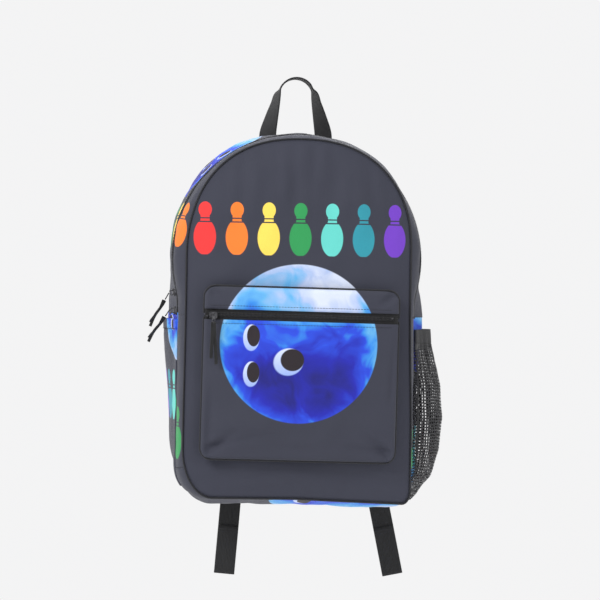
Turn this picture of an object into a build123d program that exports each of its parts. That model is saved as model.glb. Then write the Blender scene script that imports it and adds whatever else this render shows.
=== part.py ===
from build123d import *
import os
from math import cos, radians, sin, sqrt

os.makedirs("parts", exist_ok=True)

# A day backpack that hangs by its grab loop. X is to the viewer's right, the front faces -Y, Z is up, and the
# origin is the point inside the top of the grab loop that rests on a hook. Sizes are in millimetres.

# Shell outline: an arch on two straight legs, with rounded corners at the base
leg_half = 139
arch_swell = 7
arch_top_z = -72
base_z = -500
corner_radius = 38
wall = 2.5

# Depths along Y
front_y = -116
front_strip = 22
front_inset = 9
tape_width = 4.85
coil_width = 1.5
coil_proud = 1.2
zip_gap = 0.3
back_y = 20
piping = 2.5

# Main zip and its flap
fold_rise = 20
zip_leg_length = 23.3
seam_gap = 0.3
stop_length = 2

# Sliders, pulls and ribbons
slider_length = 9
slider_width = 8
slider_thick = 3
slider_lift = 0.3
bridge_height = 2.5
bridge_length = 5
bridge_width = 3
bridge_post = 1.2
bridge_top = 1
pivot_clearance = 1.5
upper_slider_angle = 16
lower_slider_rise = 5.5
slider_corner = 2
pull_pivot_end = 1
pull_slot = 1.6
pull_slot_end = 3
pull_length = 9
pull_width = 4
pull_thick = 1.2
ribbon_width = 4.5
ribbon_thick = 1
ribbon_length = 40
ribbon_shift = 3
upper_pull_lean = 29
lower_pull_lean = 33

# Front pocket
pocket_half = 113
pocket_top_z = -252
pocket_rise = 48
pocket_zip_z = -285
pocket_tape = 7.85
pocket_depth = 20
pocket_wall = 2
pocket_corner = 14
pocket_slider_x = -100
pocket_stop_x = 106

# Side pockets
side_pocket_drop = 4
side_pocket_gap = 6.5
side_pocket_rise = 20
hem_height = 14
hem_extra = 0.8
mesh_drop = 32
mesh_mouth = 18
mesh_belly = 38
mesh_foot = 1
mesh_belly_lift = 3
mesh_rise = 12
mesh_wall = 1.6
elastic_height = 22
side_pocket_front_y = -93
side_pocket_back_y = 14

# Laptop sleeve
sleeve_top_z = -238
sleeve_gap = 6.5
sleeve_thick = 3
binding_height = 12
binding_extra = 1

# Back and shoulder straps
pad_thick = 10
pad_inset = 16
pad_top_z = -142
pad_rise = 80
yoke_top_z = -102
yoke_bottom_z = -124
yoke_half = 78
yoke_thick = 13
strap_gap = 6
strap_thick = 11
strap_width = 60
strap_top_z = -127
strap_end_z = -372
strap_top_x = 46
strap_bow = 14
webbing_width = 25
webbing_thick = 1.8
lock_z = -398
lock_length = 26
lock_width = 33
lock_thick = 4
lock_bar = 4
lock_corner = 3
lock_slot_trim = 2.5
lock_x = (-56, 93)
tail_x = (-71, 136)
tail_end_z = -600
tail_fold = 50
anchor_x = 112
anchor_rise = 26
anchor_size = 34
anchor_dip = 8
anchor_tip = 2
foot_lift = 2.9

# Grab loop
loop_top_half = 20
loop_base_half = 31
loop_width = 25
loop_thick = 2
loop_y = 0

arch_radius = leg_half + arch_swell
arch_z = arch_top_z - arch_radius
waist_z = arch_z - sqrt(arch_radius**2 - leg_half**2)
fold_z = pocket_top_z + fold_rise
zip_end_z = waist_z - zip_leg_length
lower_slider_z = zip_end_z + lower_slider_rise
pocket_bottom_z = base_z + pocket_rise
side_pocket_top_z = zip_end_z - side_pocket_drop
side_pocket_bottom_z = base_z + side_pocket_rise
mesh_top_z = zip_end_z - mesh_drop
mesh_bottom_z = base_z + mesh_rise
mesh_belly_z = (mesh_top_z + mesh_bottom_z) / 2 + mesh_belly_lift
pad_bottom_z = base_z + pad_rise
anchor_z = base_z + anchor_rise
zip_front_y = front_y + front_strip
zip_mid_y = zip_front_y + tape_width + zip_gap / 2
zip_back_y = zip_mid_y + zip_gap / 2 + tape_width
inner_back_y = back_y - wall
panel_front_y = front_y - wall
pocket_front_y = panel_front_y - pocket_depth
sides = (("left", -1), ("right", 1))


def facing(y):
    """The plane of constant Y whose extrusions run towards the front."""
    return Plane.XZ.offset(-y)


def outline(inset):
    """The shell's outline, drawn in by inset."""
    radius = arch_radius - inset
    leg = leg_half - inset
    base = base_z + inset
    corner = corner_radius - inset
    waist = arch_z - sqrt(radius**2 - leg**2)
    with BuildSketch() as shape:
        with BuildLine():
            ThreePointArc((-leg, waist), (0, arch_z + radius), (leg, waist))
            Line((leg, waist), (leg, base + corner))
            CenterArc((leg - corner, base + corner), corner, 0, -90)
            Line((leg - corner, base), (corner - leg, base))
            CenterArc((corner - leg, base + corner), corner, -90, -90)
            Line((-leg, base + corner), (-leg, waist))
        make_face()
    return shape.sketch


def ring(front, back, outer=0.0, thick=wall):
    """A straight band of the shell between two depths."""
    with BuildPart() as band:
        with BuildSketch(facing(back)):
            add(outline(outer))
            add(outline(outer + thick), mode=Mode.SUBTRACT)
        extrude(amount=back - front)
    return band.part


def front_ring():
    """The band that narrows from the main zip to the front seam."""
    with BuildPart() as band:
        for inset, mode in ((0, Mode.ADD), (wall, Mode.SUBTRACT)):
            with BuildSketch(facing(zip_front_y)):
                add(outline(inset))
            with BuildSketch(facing(front_y)):
                add(outline(inset + front_inset))
            loft(ruled=True, mode=mode)
    return band.part


def above(z):
    """Keeps what is above a height."""
    split(bisect_by=Plane.XY.offset(z), keep=Keep.TOP)


def below(z):
    """Keeps what is below a height."""
    split(bisect_by=Plane.XY.offset(z), keep=Keep.BOTTOM)


def half(side):
    """Keeps one side of the centre seam."""
    split(bisect_by=Plane.YZ, keep=Keep.TOP if side > 0 else Keep.BOTTOM)


def save(name, part):
    """Labels a finished piece and writes its file."""
    part.label = name
    export_step(part, f"parts/{name}.step")


# Shell, from the back to the front
with BuildPart() as back_panel:
    with BuildSketch(facing(back_y)):
        add(outline(0))
    extrude(amount=wall)
save("back_panel", back_panel.part)

with BuildPart() as back_piping:
    add(ring(back_y, back_y + piping, outer=1, thick=piping))
save("back_piping", back_piping.part)


def lower_front_ring():
    """The front band below the flap's fold."""
    with BuildPart() as band:
        add(front_ring())
        below(fold_z - seam_gap / 2)
    return band.part


for name, side in sides:
    with BuildPart() as rear_gusset:
        add(ring(zip_back_y, inner_back_y))
        above(zip_end_z)
        half(side)
    save(f"rear_gusset_{name}", rear_gusset.part)

    with BuildPart() as front_gusset:
        add(front_ring())
        above(fold_z + seam_gap / 2)
        half(side)
    save(f"front_gusset_{name}", front_gusset.part)

    with BuildPart() as side_panel:
        add(ring(zip_front_y, inner_back_y))
        below(zip_end_z)
        add(lower_front_ring())
        above(base_z + corner_radius)
        half(side)
    save(f"side_panel_{name}", side_panel.part)

with BuildPart() as bottom_panel:
    add(ring(zip_front_y, inner_back_y))
    add(front_ring())
    below(base_z + corner_radius)
save("bottom_panel", bottom_panel.part)

with BuildPart() as front_panel_upper:
    with BuildSketch(facing(front_y)):
        add(outline(front_inset))
    extrude(amount=wall)
    above(fold_z + seam_gap / 2)
save("front_panel_upper", front_panel_upper.part)

with BuildPart() as front_panel_lower:
    with BuildSketch(facing(front_y)):
        add(outline(front_inset))
    extrude(amount=wall)
    below(fold_z - seam_gap / 2)
save("front_panel_lower", front_panel_lower.part)

with BuildPart() as front_piping_upper:
    add(ring(panel_front_y - piping, panel_front_y, outer=front_inset, thick=piping))
    above(fold_z + seam_gap / 2)
save("front_piping_upper", front_piping_upper.part)

with BuildPart() as front_piping_lower:
    add(ring(panel_front_y - piping, panel_front_y, outer=front_inset, thick=piping))
    below(fold_z - seam_gap / 2)
save("front_piping_lower", front_piping_lower.part)


# Main zip
def tape(front, back):
    """One tape of the main zip, as far down as its ends."""
    with BuildPart() as band:
        add(ring(front, back))
        above(zip_end_z)
    return band.part


def coil(front, back):
    """One coil of the main zip, standing on its tape."""
    with BuildPart() as band:
        add(ring(front, back, outer=-coil_proud, thick=coil_proud))
        above(zip_end_z + stop_length)
    return band.part


with BuildPart() as main_zip_tape_rear:
    add(tape(zip_mid_y + zip_gap / 2, zip_back_y))
save("main_zip_tape_rear", main_zip_tape_rear.part)

with BuildPart() as main_zip_coil_rear:
    add(coil(zip_mid_y + zip_gap / 2, zip_mid_y + zip_gap / 2 + coil_width))
save("main_zip_coil_rear", main_zip_coil_rear.part)

with BuildPart() as main_zip_tape_front:
    add(tape(zip_front_y, zip_mid_y - zip_gap / 2))
    above(fold_z + seam_gap / 2)
save("main_zip_tape_front", main_zip_tape_front.part)

with BuildPart() as main_zip_coil_front:
    add(coil(zip_mid_y - zip_gap / 2 - coil_width, zip_mid_y - zip_gap / 2))
    above(fold_z + seam_gap / 2)
save("main_zip_coil_front", main_zip_coil_front.part)

for name, side in sides:
    with BuildPart() as zip_leg:
        add(tape(zip_front_y, zip_mid_y - zip_gap / 2))
        add(coil(zip_mid_y - zip_gap / 2 - coil_width, zip_mid_y - zip_gap / 2))
        below(fold_z - seam_gap / 2)
        half(side)
    save(f"main_zip_leg_{name}", zip_leg.part)

with BuildPart() as main_zip_stops:
    for name, side in sides:
        with Locations((side * (leg_half + coil_proud / 2), zip_mid_y, zip_end_z + stop_length / 2)):
            Box(coil_proud, 2 * coil_width + zip_gap, stop_length)
save("main_zip_stops", main_zip_stops.part)


# Sliders: a flat body with a bridge on top, lying in the plane given, travel along its X
def slider(plane):
    """A zip slider that sits just clear of the coils."""
    with BuildPart() as body:
        with BuildSketch(plane.offset(coil_proud + slider_lift)):
            RectangleRounded(slider_length, slider_width, slider_corner)
        extrude(amount=slider_thick)
        with BuildSketch(plane.offset(coil_proud + slider_lift + slider_thick)):
            with GridLocations(bridge_length, 0, 2, 1):
                Rectangle(bridge_post, bridge_width)
        extrude(amount=bridge_height)
        with BuildSketch(plane.offset(coil_proud + slider_lift + slider_thick + bridge_height)):
            Rectangle(bridge_length + bridge_post, bridge_width)
        extrude(amount=bridge_top)
    return body.part


def pull(plane):
    """A flat pull bar from its pivot, running along the plane's X."""
    with BuildPart() as bar:
        with BuildSketch(plane):
            with Locations((pull_length / 2 - pull_pivot_end, 0)):
                RectangleRounded(pull_length, pull_width, pull_pivot_end)
            with Locations((pull_length - pull_slot_end, 0)):
                Rectangle(pull_slot, pull_width - pull_slot, mode=Mode.SUBTRACT)
        extrude(amount=pull_thick / 2, both=True)
    return bar.part


def ribbon(plane, shift):
    """A flat ribbon from the end of the pull bar."""
    with BuildPart() as strip:
        with BuildSketch(plane):
            with Locations((pull_length - pull_pivot_end + ribbon_length / 2, shift)):
                Rectangle(ribbon_length, ribbon_width)
        extrude(amount=ribbon_thick / 2, both=True)
    return strip.part


pivot_lift = coil_proud + slider_lift + slider_thick + bridge_height + bridge_top + pivot_clearance
upper_radial = Vector(-cos(radians(upper_slider_angle)), 0, -sin(radians(upper_slider_angle)))
upper_centre = Vector(0, zip_mid_y, arch_z) + upper_radial * arch_radius
upper_down = Vector(sin(radians(upper_slider_angle)), 0, -cos(radians(upper_slider_angle)))
upper_plane = Plane(origin=upper_centre, x_dir=upper_down, z_dir=upper_radial)
lower_plane = Plane(origin=(-leg_half, zip_mid_y, lower_slider_z), x_dir=(0, 0, -1), z_dir=(-1, 0, 0))
pocket_plane = Plane(origin=(pocket_slider_x, pocket_front_y, pocket_zip_z), x_dir=(1, 0, 0), z_dir=(0, -1, 0))


def leaning(plane, lean):
    """The plane of a hanging pull, its X leaning outwards from straight down by an angle."""
    pivot = plane.origin + plane.z_dir * pivot_lift
    down = Vector(-sin(radians(lean)), 0, -cos(radians(lean)))
    out = Vector(-cos(radians(lean)), 0, sin(radians(lean)))
    return Plane(origin=pivot, x_dir=down, z_dir=out)


upper_pull_plane = leaning(upper_plane, upper_pull_lean)
lower_pull_plane = leaning(lower_plane, lower_pull_lean)
pocket_pull_plane = Plane(
    origin=pocket_plane.origin + pocket_plane.z_dir * pivot_lift, x_dir=(0, 0, -1), z_dir=(0, -1, 0)
)
pulls = (
    ("main", "upper", upper_plane, upper_pull_plane, ribbon_shift),
    ("main", "lower", lower_plane, lower_pull_plane, -ribbon_shift),
    ("pocket", "", pocket_plane, pocket_pull_plane, 0),
)
for group, which, slider_plane, pull_plane, shift in pulls:
    tail = f"_{which}" if which else ""
    with BuildPart() as zip_slider:
        add(slider(slider_plane))
    save(f"{group}_slider{tail}", zip_slider.part)

    with BuildPart() as zip_pull:
        add(pull(pull_plane))
    save(f"{group}_pull{tail}", zip_pull.part)

    with BuildPart() as zip_ribbon:
        add(ribbon(pull_plane, shift))
    save(f"{group}_ribbon{tail}", zip_ribbon.part)


# Front pocket
pocket_mid_z = (pocket_top_z + pocket_bottom_z) / 2
pocket_height = pocket_top_z - pocket_bottom_z


def pocket_outline(inset):
    """The front pocket's outline, drawn in by inset."""
    with BuildSketch() as shape:
        with Locations((0, pocket_mid_z)):
            RectangleRounded(2 * (pocket_half - inset), pocket_height - 2 * inset, pocket_corner - inset)
    return shape.sketch


def pocket_face():
    """The pocket's whole front face."""
    with BuildPart() as face:
        with BuildSketch(facing(pocket_front_y + pocket_wall)):
            add(pocket_outline(0))
        extrude(amount=pocket_wall)
    return face.part


with BuildPart() as pocket_gusset:
    with BuildSketch(facing(panel_front_y)):
        add(pocket_outline(0))
        add(pocket_outline(pocket_wall), mode=Mode.SUBTRACT)
    extrude(amount=pocket_depth - pocket_wall - seam_gap)
save("pocket_gusset", pocket_gusset.part)

with BuildPart() as pocket_top_panel:
    add(pocket_face())
    above(pocket_zip_z + zip_gap / 2 + pocket_tape)
save("pocket_top_panel", pocket_top_panel.part)

with BuildPart() as pocket_front_panel:
    add(pocket_face())
    below(pocket_zip_z - zip_gap / 2 - pocket_tape)
save("pocket_front_panel", pocket_front_panel.part)

with BuildPart() as pocket_zip_tape_upper:
    add(pocket_face())
    above(pocket_zip_z + zip_gap / 2)
    below(pocket_zip_z + zip_gap / 2 + pocket_tape)
save("pocket_zip_tape_upper", pocket_zip_tape_upper.part)

with BuildPart() as pocket_zip_tape_lower:
    add(pocket_face())
    below(pocket_zip_z - zip_gap / 2)
    above(pocket_zip_z - zip_gap / 2 - pocket_tape)
save("pocket_zip_tape_lower", pocket_zip_tape_lower.part)

for name, side in (("upper", 1), ("lower", -1)):
    with BuildPart() as pocket_coil:
        with BuildSketch(facing(pocket_front_y)):
            with Locations((0, pocket_zip_z + side * (zip_gap + coil_width) / 2)):
                Rectangle(2 * pocket_stop_x, coil_width)
        extrude(amount=coil_proud)
    save(f"pocket_zip_coil_{name}", pocket_coil.part)

with BuildPart() as pocket_zip_stops:
    with BuildSketch(facing(pocket_front_y)):
        for side in (-1, 1):
            with Locations((side * (pocket_stop_x + stop_length / 2), pocket_zip_z - zip_gap / 2 - coil_width / 2)):
                Rectangle(stop_length, coil_width)
    extrude(amount=coil_proud)
save("pocket_zip_stops", pocket_zip_stops.part)

# Left side pocket: an outer wall with front and back seams, open at the top
pocket_out_x = leg_half + side_pocket_gap
with BuildPart() as side_pocket:
    with BuildSketch(facing(side_pocket_back_y)):
        with Locations((-(leg_half + pocket_out_x + pocket_wall) / 2, (side_pocket_top_z + side_pocket_bottom_z) / 2)):
            Rectangle(side_pocket_gap + pocket_wall, side_pocket_top_z - side_pocket_bottom_z)
    extrude(amount=side_pocket_back_y - side_pocket_front_y)
    with Locations(
        (
            -(leg_half + side_pocket_gap / 2),
            (side_pocket_front_y + side_pocket_back_y) / 2,
            (side_pocket_top_z + side_pocket_bottom_z) / 2 + pocket_wall,
        )
    ):
        Box(
            side_pocket_gap,
            side_pocket_back_y - side_pocket_front_y - 2 * pocket_wall,
            side_pocket_top_z - side_pocket_bottom_z,
            mode=Mode.SUBTRACT,
        )
save("side_pocket", side_pocket.part)

with BuildPart() as side_pocket_hem:
    with Locations(
        (
            -(pocket_out_x + pocket_wall + hem_extra / 2),
            (side_pocket_front_y + side_pocket_back_y) / 2,
            side_pocket_top_z - hem_height / 2,
        )
    ):
        Box(hem_extra, side_pocket_back_y - side_pocket_front_y, hem_height)
save("side_pocket_hem", side_pocket_hem.part)


# Right side pocket of mesh: a bellied pouch, open at the top
def mesh_profile(inset):
    """The pouch's section across the bag."""
    with BuildSketch() as shape:
        with BuildLine():
            ThreePointArc(
                (leg_half + mesh_mouth - inset, mesh_top_z),
                (leg_half + mesh_belly - inset, mesh_belly_z),
                (leg_half + mesh_foot, mesh_bottom_z + inset),
            )
            Line((leg_half + mesh_foot, mesh_bottom_z + inset), (leg_half, mesh_bottom_z + inset))
            Line((leg_half, mesh_bottom_z + inset), (leg_half, mesh_top_z))
            Line((leg_half, mesh_top_z), (leg_half + mesh_mouth - inset, mesh_top_z))
        make_face()
    return shape.sketch


with BuildPart() as mesh_pocket:
    with BuildSketch(facing(side_pocket_back_y)):
        add(mesh_profile(0))
    extrude(amount=side_pocket_back_y - side_pocket_front_y)
    with BuildSketch(facing(side_pocket_back_y - mesh_wall)):
        add(mesh_profile(mesh_wall))
    extrude(amount=side_pocket_back_y - side_pocket_front_y - 2 * mesh_wall, mode=Mode.SUBTRACT)
save("mesh_pocket", mesh_pocket.part)

with BuildPart() as mesh_pocket_elastic:
    with BuildSketch(Plane.XY.offset(mesh_top_z)):
        with Locations((leg_half + mesh_mouth / 2, (side_pocket_front_y + side_pocket_back_y) / 2)):
            Rectangle(mesh_mouth, side_pocket_back_y - side_pocket_front_y)
        with Locations((leg_half + (mesh_mouth - mesh_wall) / 2, (side_pocket_front_y + side_pocket_back_y) / 2)):
            Rectangle(
                mesh_mouth - mesh_wall,
                side_pocket_back_y - side_pocket_front_y - 2 * mesh_wall,
                mode=Mode.SUBTRACT,
            )
    extrude(amount=elastic_height)
save("mesh_pocket_elastic", mesh_pocket_elastic.part)

# Laptop sleeve inside, in front of the back panel
sleeve_y = inner_back_y - sleeve_gap
with BuildPart() as laptop_sleeve:
    with BuildSketch(facing(sleeve_y)):
        add(outline(wall))
    extrude(amount=sleeve_thick)
    below(sleeve_top_z)
save("laptop_sleeve", laptop_sleeve.part)

with BuildPart() as laptop_sleeve_binding:
    with BuildSketch(facing(sleeve_y - sleeve_thick)):
        with Locations((0, sleeve_top_z - binding_height / 2)):
            Rectangle(2 * (leg_half - wall), binding_height)
    extrude(amount=binding_extra)
save("laptop_sleeve_binding", laptop_sleeve_binding.part)

# Back: padded air mesh and the yoke that carries the straps
with BuildPart() as back_pad:
    with BuildSketch(facing(back_y + pad_thick)):
        add(outline(pad_inset))
    extrude(amount=pad_thick)
    below(pad_top_z)
    above(pad_bottom_z)
save("back_pad", back_pad.part)

with BuildPart() as yoke_panel:
    with BuildSketch(facing(back_y + yoke_thick)):
        with Locations((0, (yoke_top_z + yoke_bottom_z) / 2)):
            Rectangle(2 * yoke_half, yoke_top_z - yoke_bottom_z)
    extrude(amount=yoke_thick)
save("yoke_panel", yoke_panel.part)

strap_front_y = back_y + pad_thick + strap_gap
strap_mid_y = strap_front_y + strap_thick / 2
lock_front_y = strap_mid_y - lock_thick / 2
for index, (name, side) in enumerate(sides):
    end_x = lock_x[index]
    top_x = side * strap_top_x
    bow_x = (top_x + end_x) / 2 + side * strap_bow
    with BuildPart() as shoulder_strap:
        with BuildSketch(facing(strap_front_y + strap_thick)):
            with BuildLine():
                inner_edge = ThreePointArc(
                    (top_x - strap_width / 2, strap_top_z),
                    (bow_x - strap_width / 2, (strap_top_z + strap_end_z) / 2),
                    (end_x - strap_width / 4, strap_end_z),
                )
                outer_edge = ThreePointArc(
                    (top_x + strap_width / 2, strap_top_z),
                    (bow_x + strap_width / 2, (strap_top_z + strap_end_z) / 2),
                    (end_x + strap_width / 4, strap_end_z),
                )
                Line(inner_edge @ 0, outer_edge @ 0)
                Line(inner_edge @ 1, outer_edge @ 1)
            make_face()
        extrude(amount=strap_thick)
    save(f"shoulder_strap_{name}", shoulder_strap.part)

    with BuildPart() as ladder_lock:
        with BuildSketch(facing(lock_front_y + lock_thick)):
            with Locations((end_x, lock_z)):
                RectangleRounded(lock_width, lock_length, lock_corner)
                with GridLocations(0, lock_length / 3 + seam_gap, 1, 2):
                    Rectangle(lock_width - 2 * lock_bar, lock_length / 3 - lock_slot_trim, mode=Mode.SUBTRACT)
        extrude(amount=lock_thick)
    save(f"ladder_lock_{name}", ladder_lock.part)

    lock_top_z = lock_z + lock_length / 2
    with BuildPart() as lock_webbing:
        with BuildSketch(facing(strap_mid_y + webbing_thick / 2)):
            with Locations((end_x, (strap_end_z + lock_top_z) / 2)):
                Rectangle(webbing_width, strap_end_z - lock_top_z)
        extrude(amount=webbing_thick)
    save(f"lock_webbing_{name}", lock_webbing.part)

    tail_top_z = lock_z - lock_bar / 2
    tail_back_y = lock_front_y + lock_thick + webbing_thick + seam_gap
    lean = (tail_x[index] - end_x) / (tail_top_z - tail_end_z)
    fold_top_x = tail_x[index] - lean * tail_fold
    with BuildPart() as strap_tail:
        with BuildSketch(facing(tail_back_y)):
            with BuildLine():
                Polyline(
                    (end_x - webbing_width / 2, tail_top_z),
                    (end_x + webbing_width / 2, tail_top_z),
                    (tail_x[index] + webbing_width / 2, tail_end_z),
                    (tail_x[index] - webbing_width / 2, tail_end_z),
                    close=True,
                )
            make_face()
        extrude(amount=webbing_thick)
        with BuildSketch(facing(tail_back_y + webbing_thick)):
            with BuildLine():
                Polyline(
                    (fold_top_x - webbing_width / 2, tail_end_z + tail_fold),
                    (fold_top_x + webbing_width / 2, tail_end_z + tail_fold),
                    (tail_x[index] + webbing_width / 2, tail_end_z),
                    (tail_x[index] - webbing_width / 2, tail_end_z),
                    close=True,
                )
            make_face()
        extrude(amount=webbing_thick)
    save(f"strap_tail_{name}", strap_tail.part)

    # The webbing from the base corner rises to just in front of the ladder lock
    foot = Vector(side * anchor_x, back_y + foot_lift, anchor_z)
    head = Vector(end_x, lock_front_y - webbing_thick - seam_gap, lock_z)
    along = (head - foot).normalized()
    across = Vector(0, 1, 0).cross(along).normalized()
    strip_plane = Plane(origin=(foot + head) / 2, x_dir=across, z_dir=across.cross(along))
    with BuildPart() as lower_webbing:
        with BuildSketch(strip_plane):
            Rectangle(webbing_width, (head - foot).length)
        extrude(amount=webbing_thick / 2, both=True)
    save(f"lower_webbing_{name}", lower_webbing.part)

    with BuildPart() as webbing_anchor:
        with BuildSketch(facing(back_y + webbing_thick)):
            with BuildLine():
                Polyline(
                    (side * anchor_x - side * anchor_size / 2, anchor_z - anchor_dip),
                    (side * anchor_x + side * anchor_size / 2, anchor_z - anchor_tip),
                    (side * anchor_x + side * anchor_size / 3, anchor_z + anchor_size),
                    close=True,
                )
            make_face()
        extrude(amount=webbing_thick)
    save(f"webbing_anchor_{name}", webbing_anchor.part)

# Grab loop: webbing up from the arch, over the hook and down again
with BuildPart() as grab_loop:
    with BuildSketch(facing(loop_y + loop_width / 2)):
        for thick, mode in ((loop_thick, Mode.ADD), (0, Mode.SUBTRACT)):
            radius = loop_top_half + thick
            with BuildLine():
                ThreePointArc((-radius, -loop_top_half), (0, thick), (radius, -loop_top_half))
                Polyline(
                    (radius, -loop_top_half),
                    (loop_base_half + thick, arch_z + arch_radius),
                    (loop_base_half + thick, arch_z),
                    (-loop_base_half - thick, arch_z),
                    (-loop_base_half - thick, arch_z + arch_radius),
                    (-radius, -loop_top_half),
                )
            make_face(mode=mode)
        with Locations((0, arch_z)):
            Circle(arch_radius, mode=Mode.SUBTRACT)
    extrude(amount=loop_width)
save("grab_loop", grab_loop.part)
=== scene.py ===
import math

import bpy
import numpy as np
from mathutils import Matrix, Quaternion, Vector, noise


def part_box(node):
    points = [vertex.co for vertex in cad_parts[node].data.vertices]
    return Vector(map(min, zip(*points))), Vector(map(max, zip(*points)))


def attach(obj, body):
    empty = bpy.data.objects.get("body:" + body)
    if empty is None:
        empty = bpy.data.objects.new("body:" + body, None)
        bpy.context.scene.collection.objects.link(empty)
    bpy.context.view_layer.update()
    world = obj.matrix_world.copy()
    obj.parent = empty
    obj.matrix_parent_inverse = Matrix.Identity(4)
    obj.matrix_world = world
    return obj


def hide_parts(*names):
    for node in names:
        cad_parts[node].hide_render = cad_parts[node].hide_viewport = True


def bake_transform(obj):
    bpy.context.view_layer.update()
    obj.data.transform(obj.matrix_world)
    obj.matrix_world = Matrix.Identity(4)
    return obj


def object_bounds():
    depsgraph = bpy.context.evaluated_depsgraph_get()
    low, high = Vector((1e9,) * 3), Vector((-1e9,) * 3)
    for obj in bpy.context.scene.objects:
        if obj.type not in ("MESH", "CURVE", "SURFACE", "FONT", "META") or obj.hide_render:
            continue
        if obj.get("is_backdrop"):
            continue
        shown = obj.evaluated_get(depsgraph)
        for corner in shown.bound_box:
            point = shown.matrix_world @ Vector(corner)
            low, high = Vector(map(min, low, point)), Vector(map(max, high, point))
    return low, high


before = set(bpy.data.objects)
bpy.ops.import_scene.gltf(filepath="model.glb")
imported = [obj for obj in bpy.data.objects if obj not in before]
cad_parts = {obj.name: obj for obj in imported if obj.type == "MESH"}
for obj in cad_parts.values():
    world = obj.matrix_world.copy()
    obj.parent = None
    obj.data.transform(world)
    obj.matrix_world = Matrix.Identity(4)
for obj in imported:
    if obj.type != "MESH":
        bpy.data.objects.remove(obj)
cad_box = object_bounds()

MM = 0.001
RIGHT, BACK, UP = np.eye(3)

# Places taken from the frame
shell_lo, shell_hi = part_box("rear_gusset_left")
base_lo, base_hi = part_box("bottom_panel")
seam_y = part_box("front_panel_upper")[0].y
back_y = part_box("back_panel")[1].y
zip_front_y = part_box("main_zip_tape_front")[0].y
zip_back_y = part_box("main_zip_tape_rear")[1].y
zip_y = (zip_front_y + zip_back_y) / 2
arch_radius = shell_hi.x - shell_lo.x
arch_z = shell_hi.z - arch_radius
leg_half = base_hi.x
base_z = base_lo.z
corner_radius = base_hi.z - base_lo.z
zip_end_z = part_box("main_zip_tape_rear")[0].z
fold_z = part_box("front_panel_upper")[0].z
# The front panel turns from the bag to the flap between these two places; pieces given this are only baked in
# place, not made to bend
FLAP = ("root", "front_flap", (0, seam_y, fold_z - 26 * MM), (0, seam_y, fold_z + 16 * MM))


# ---------------------------------------------------------------- camera, lights, stage
def camera(azimuth, roll, distance, target, pixels_per_tan):
    """A level camera on the photograph's side of the bag."""
    data = bpy.data.cameras.new("camera")
    cam = bpy.data.objects.new("camera", data)
    bpy.context.scene.collection.objects.link(cam)
    a = math.radians(azimuth)
    back = Vector((math.sin(a), -math.cos(a), 0))
    cam.location = Vector(target) + back * distance
    turn = (-back).to_track_quat("-Z", "Y")
    cam.rotation_mode = "QUATERNION"
    cam.rotation_quaternion = turn @ Quaternion((0, 0, 1), math.radians(roll))
    data.sensor_width = 36
    data.lens = 36 * pixels_per_tan / 600
    data.clip_end = 50
    bpy.context.scene.camera = cam


def area_light(name, place, aim, size, power):
    """A soft lamp pointed at a place."""
    data = bpy.data.lights.new(name, "AREA")
    data.shape = "DISK"
    data.size = size
    data.energy = power
    lamp = bpy.data.objects.new(name, data)
    lamp.location = place
    lamp.rotation_mode = "QUATERNION"
    lamp.rotation_quaternion = (Vector(aim) - Vector(place)).to_track_quat("-Z", "Y")
    bpy.context.scene.collection.objects.link(lamp)


camera(-5.3, 0.9, 3.0, (0.008, -0.05, -0.266), 2530)
middle = (0, -0.05, -0.28)
for name, place, size, power in (
    ("key", (-1.5, -1.5, 1.2), 0.9, 34),
    ("fill", (1.5, -1.6, 0.1), 1.6, 3),
    ("top", (0, 0.3, 1.6), 1.2, 12),
    ("behind", (0.4, 2.0, 0.5), 1.4, 16),
):
    area_light(name, place, middle, size, power)
world = bpy.data.worlds.new("world")
world.use_nodes = True
sky = world.node_tree.nodes["Background"]
sky.inputs["Color"].default_value = (0.95, 0.95, 0.955, 1)
sky.inputs["Strength"].default_value = 0.95
bpy.context.scene.world = world
bpy.context.scene.view_settings.view_transform = "Standard"


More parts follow.
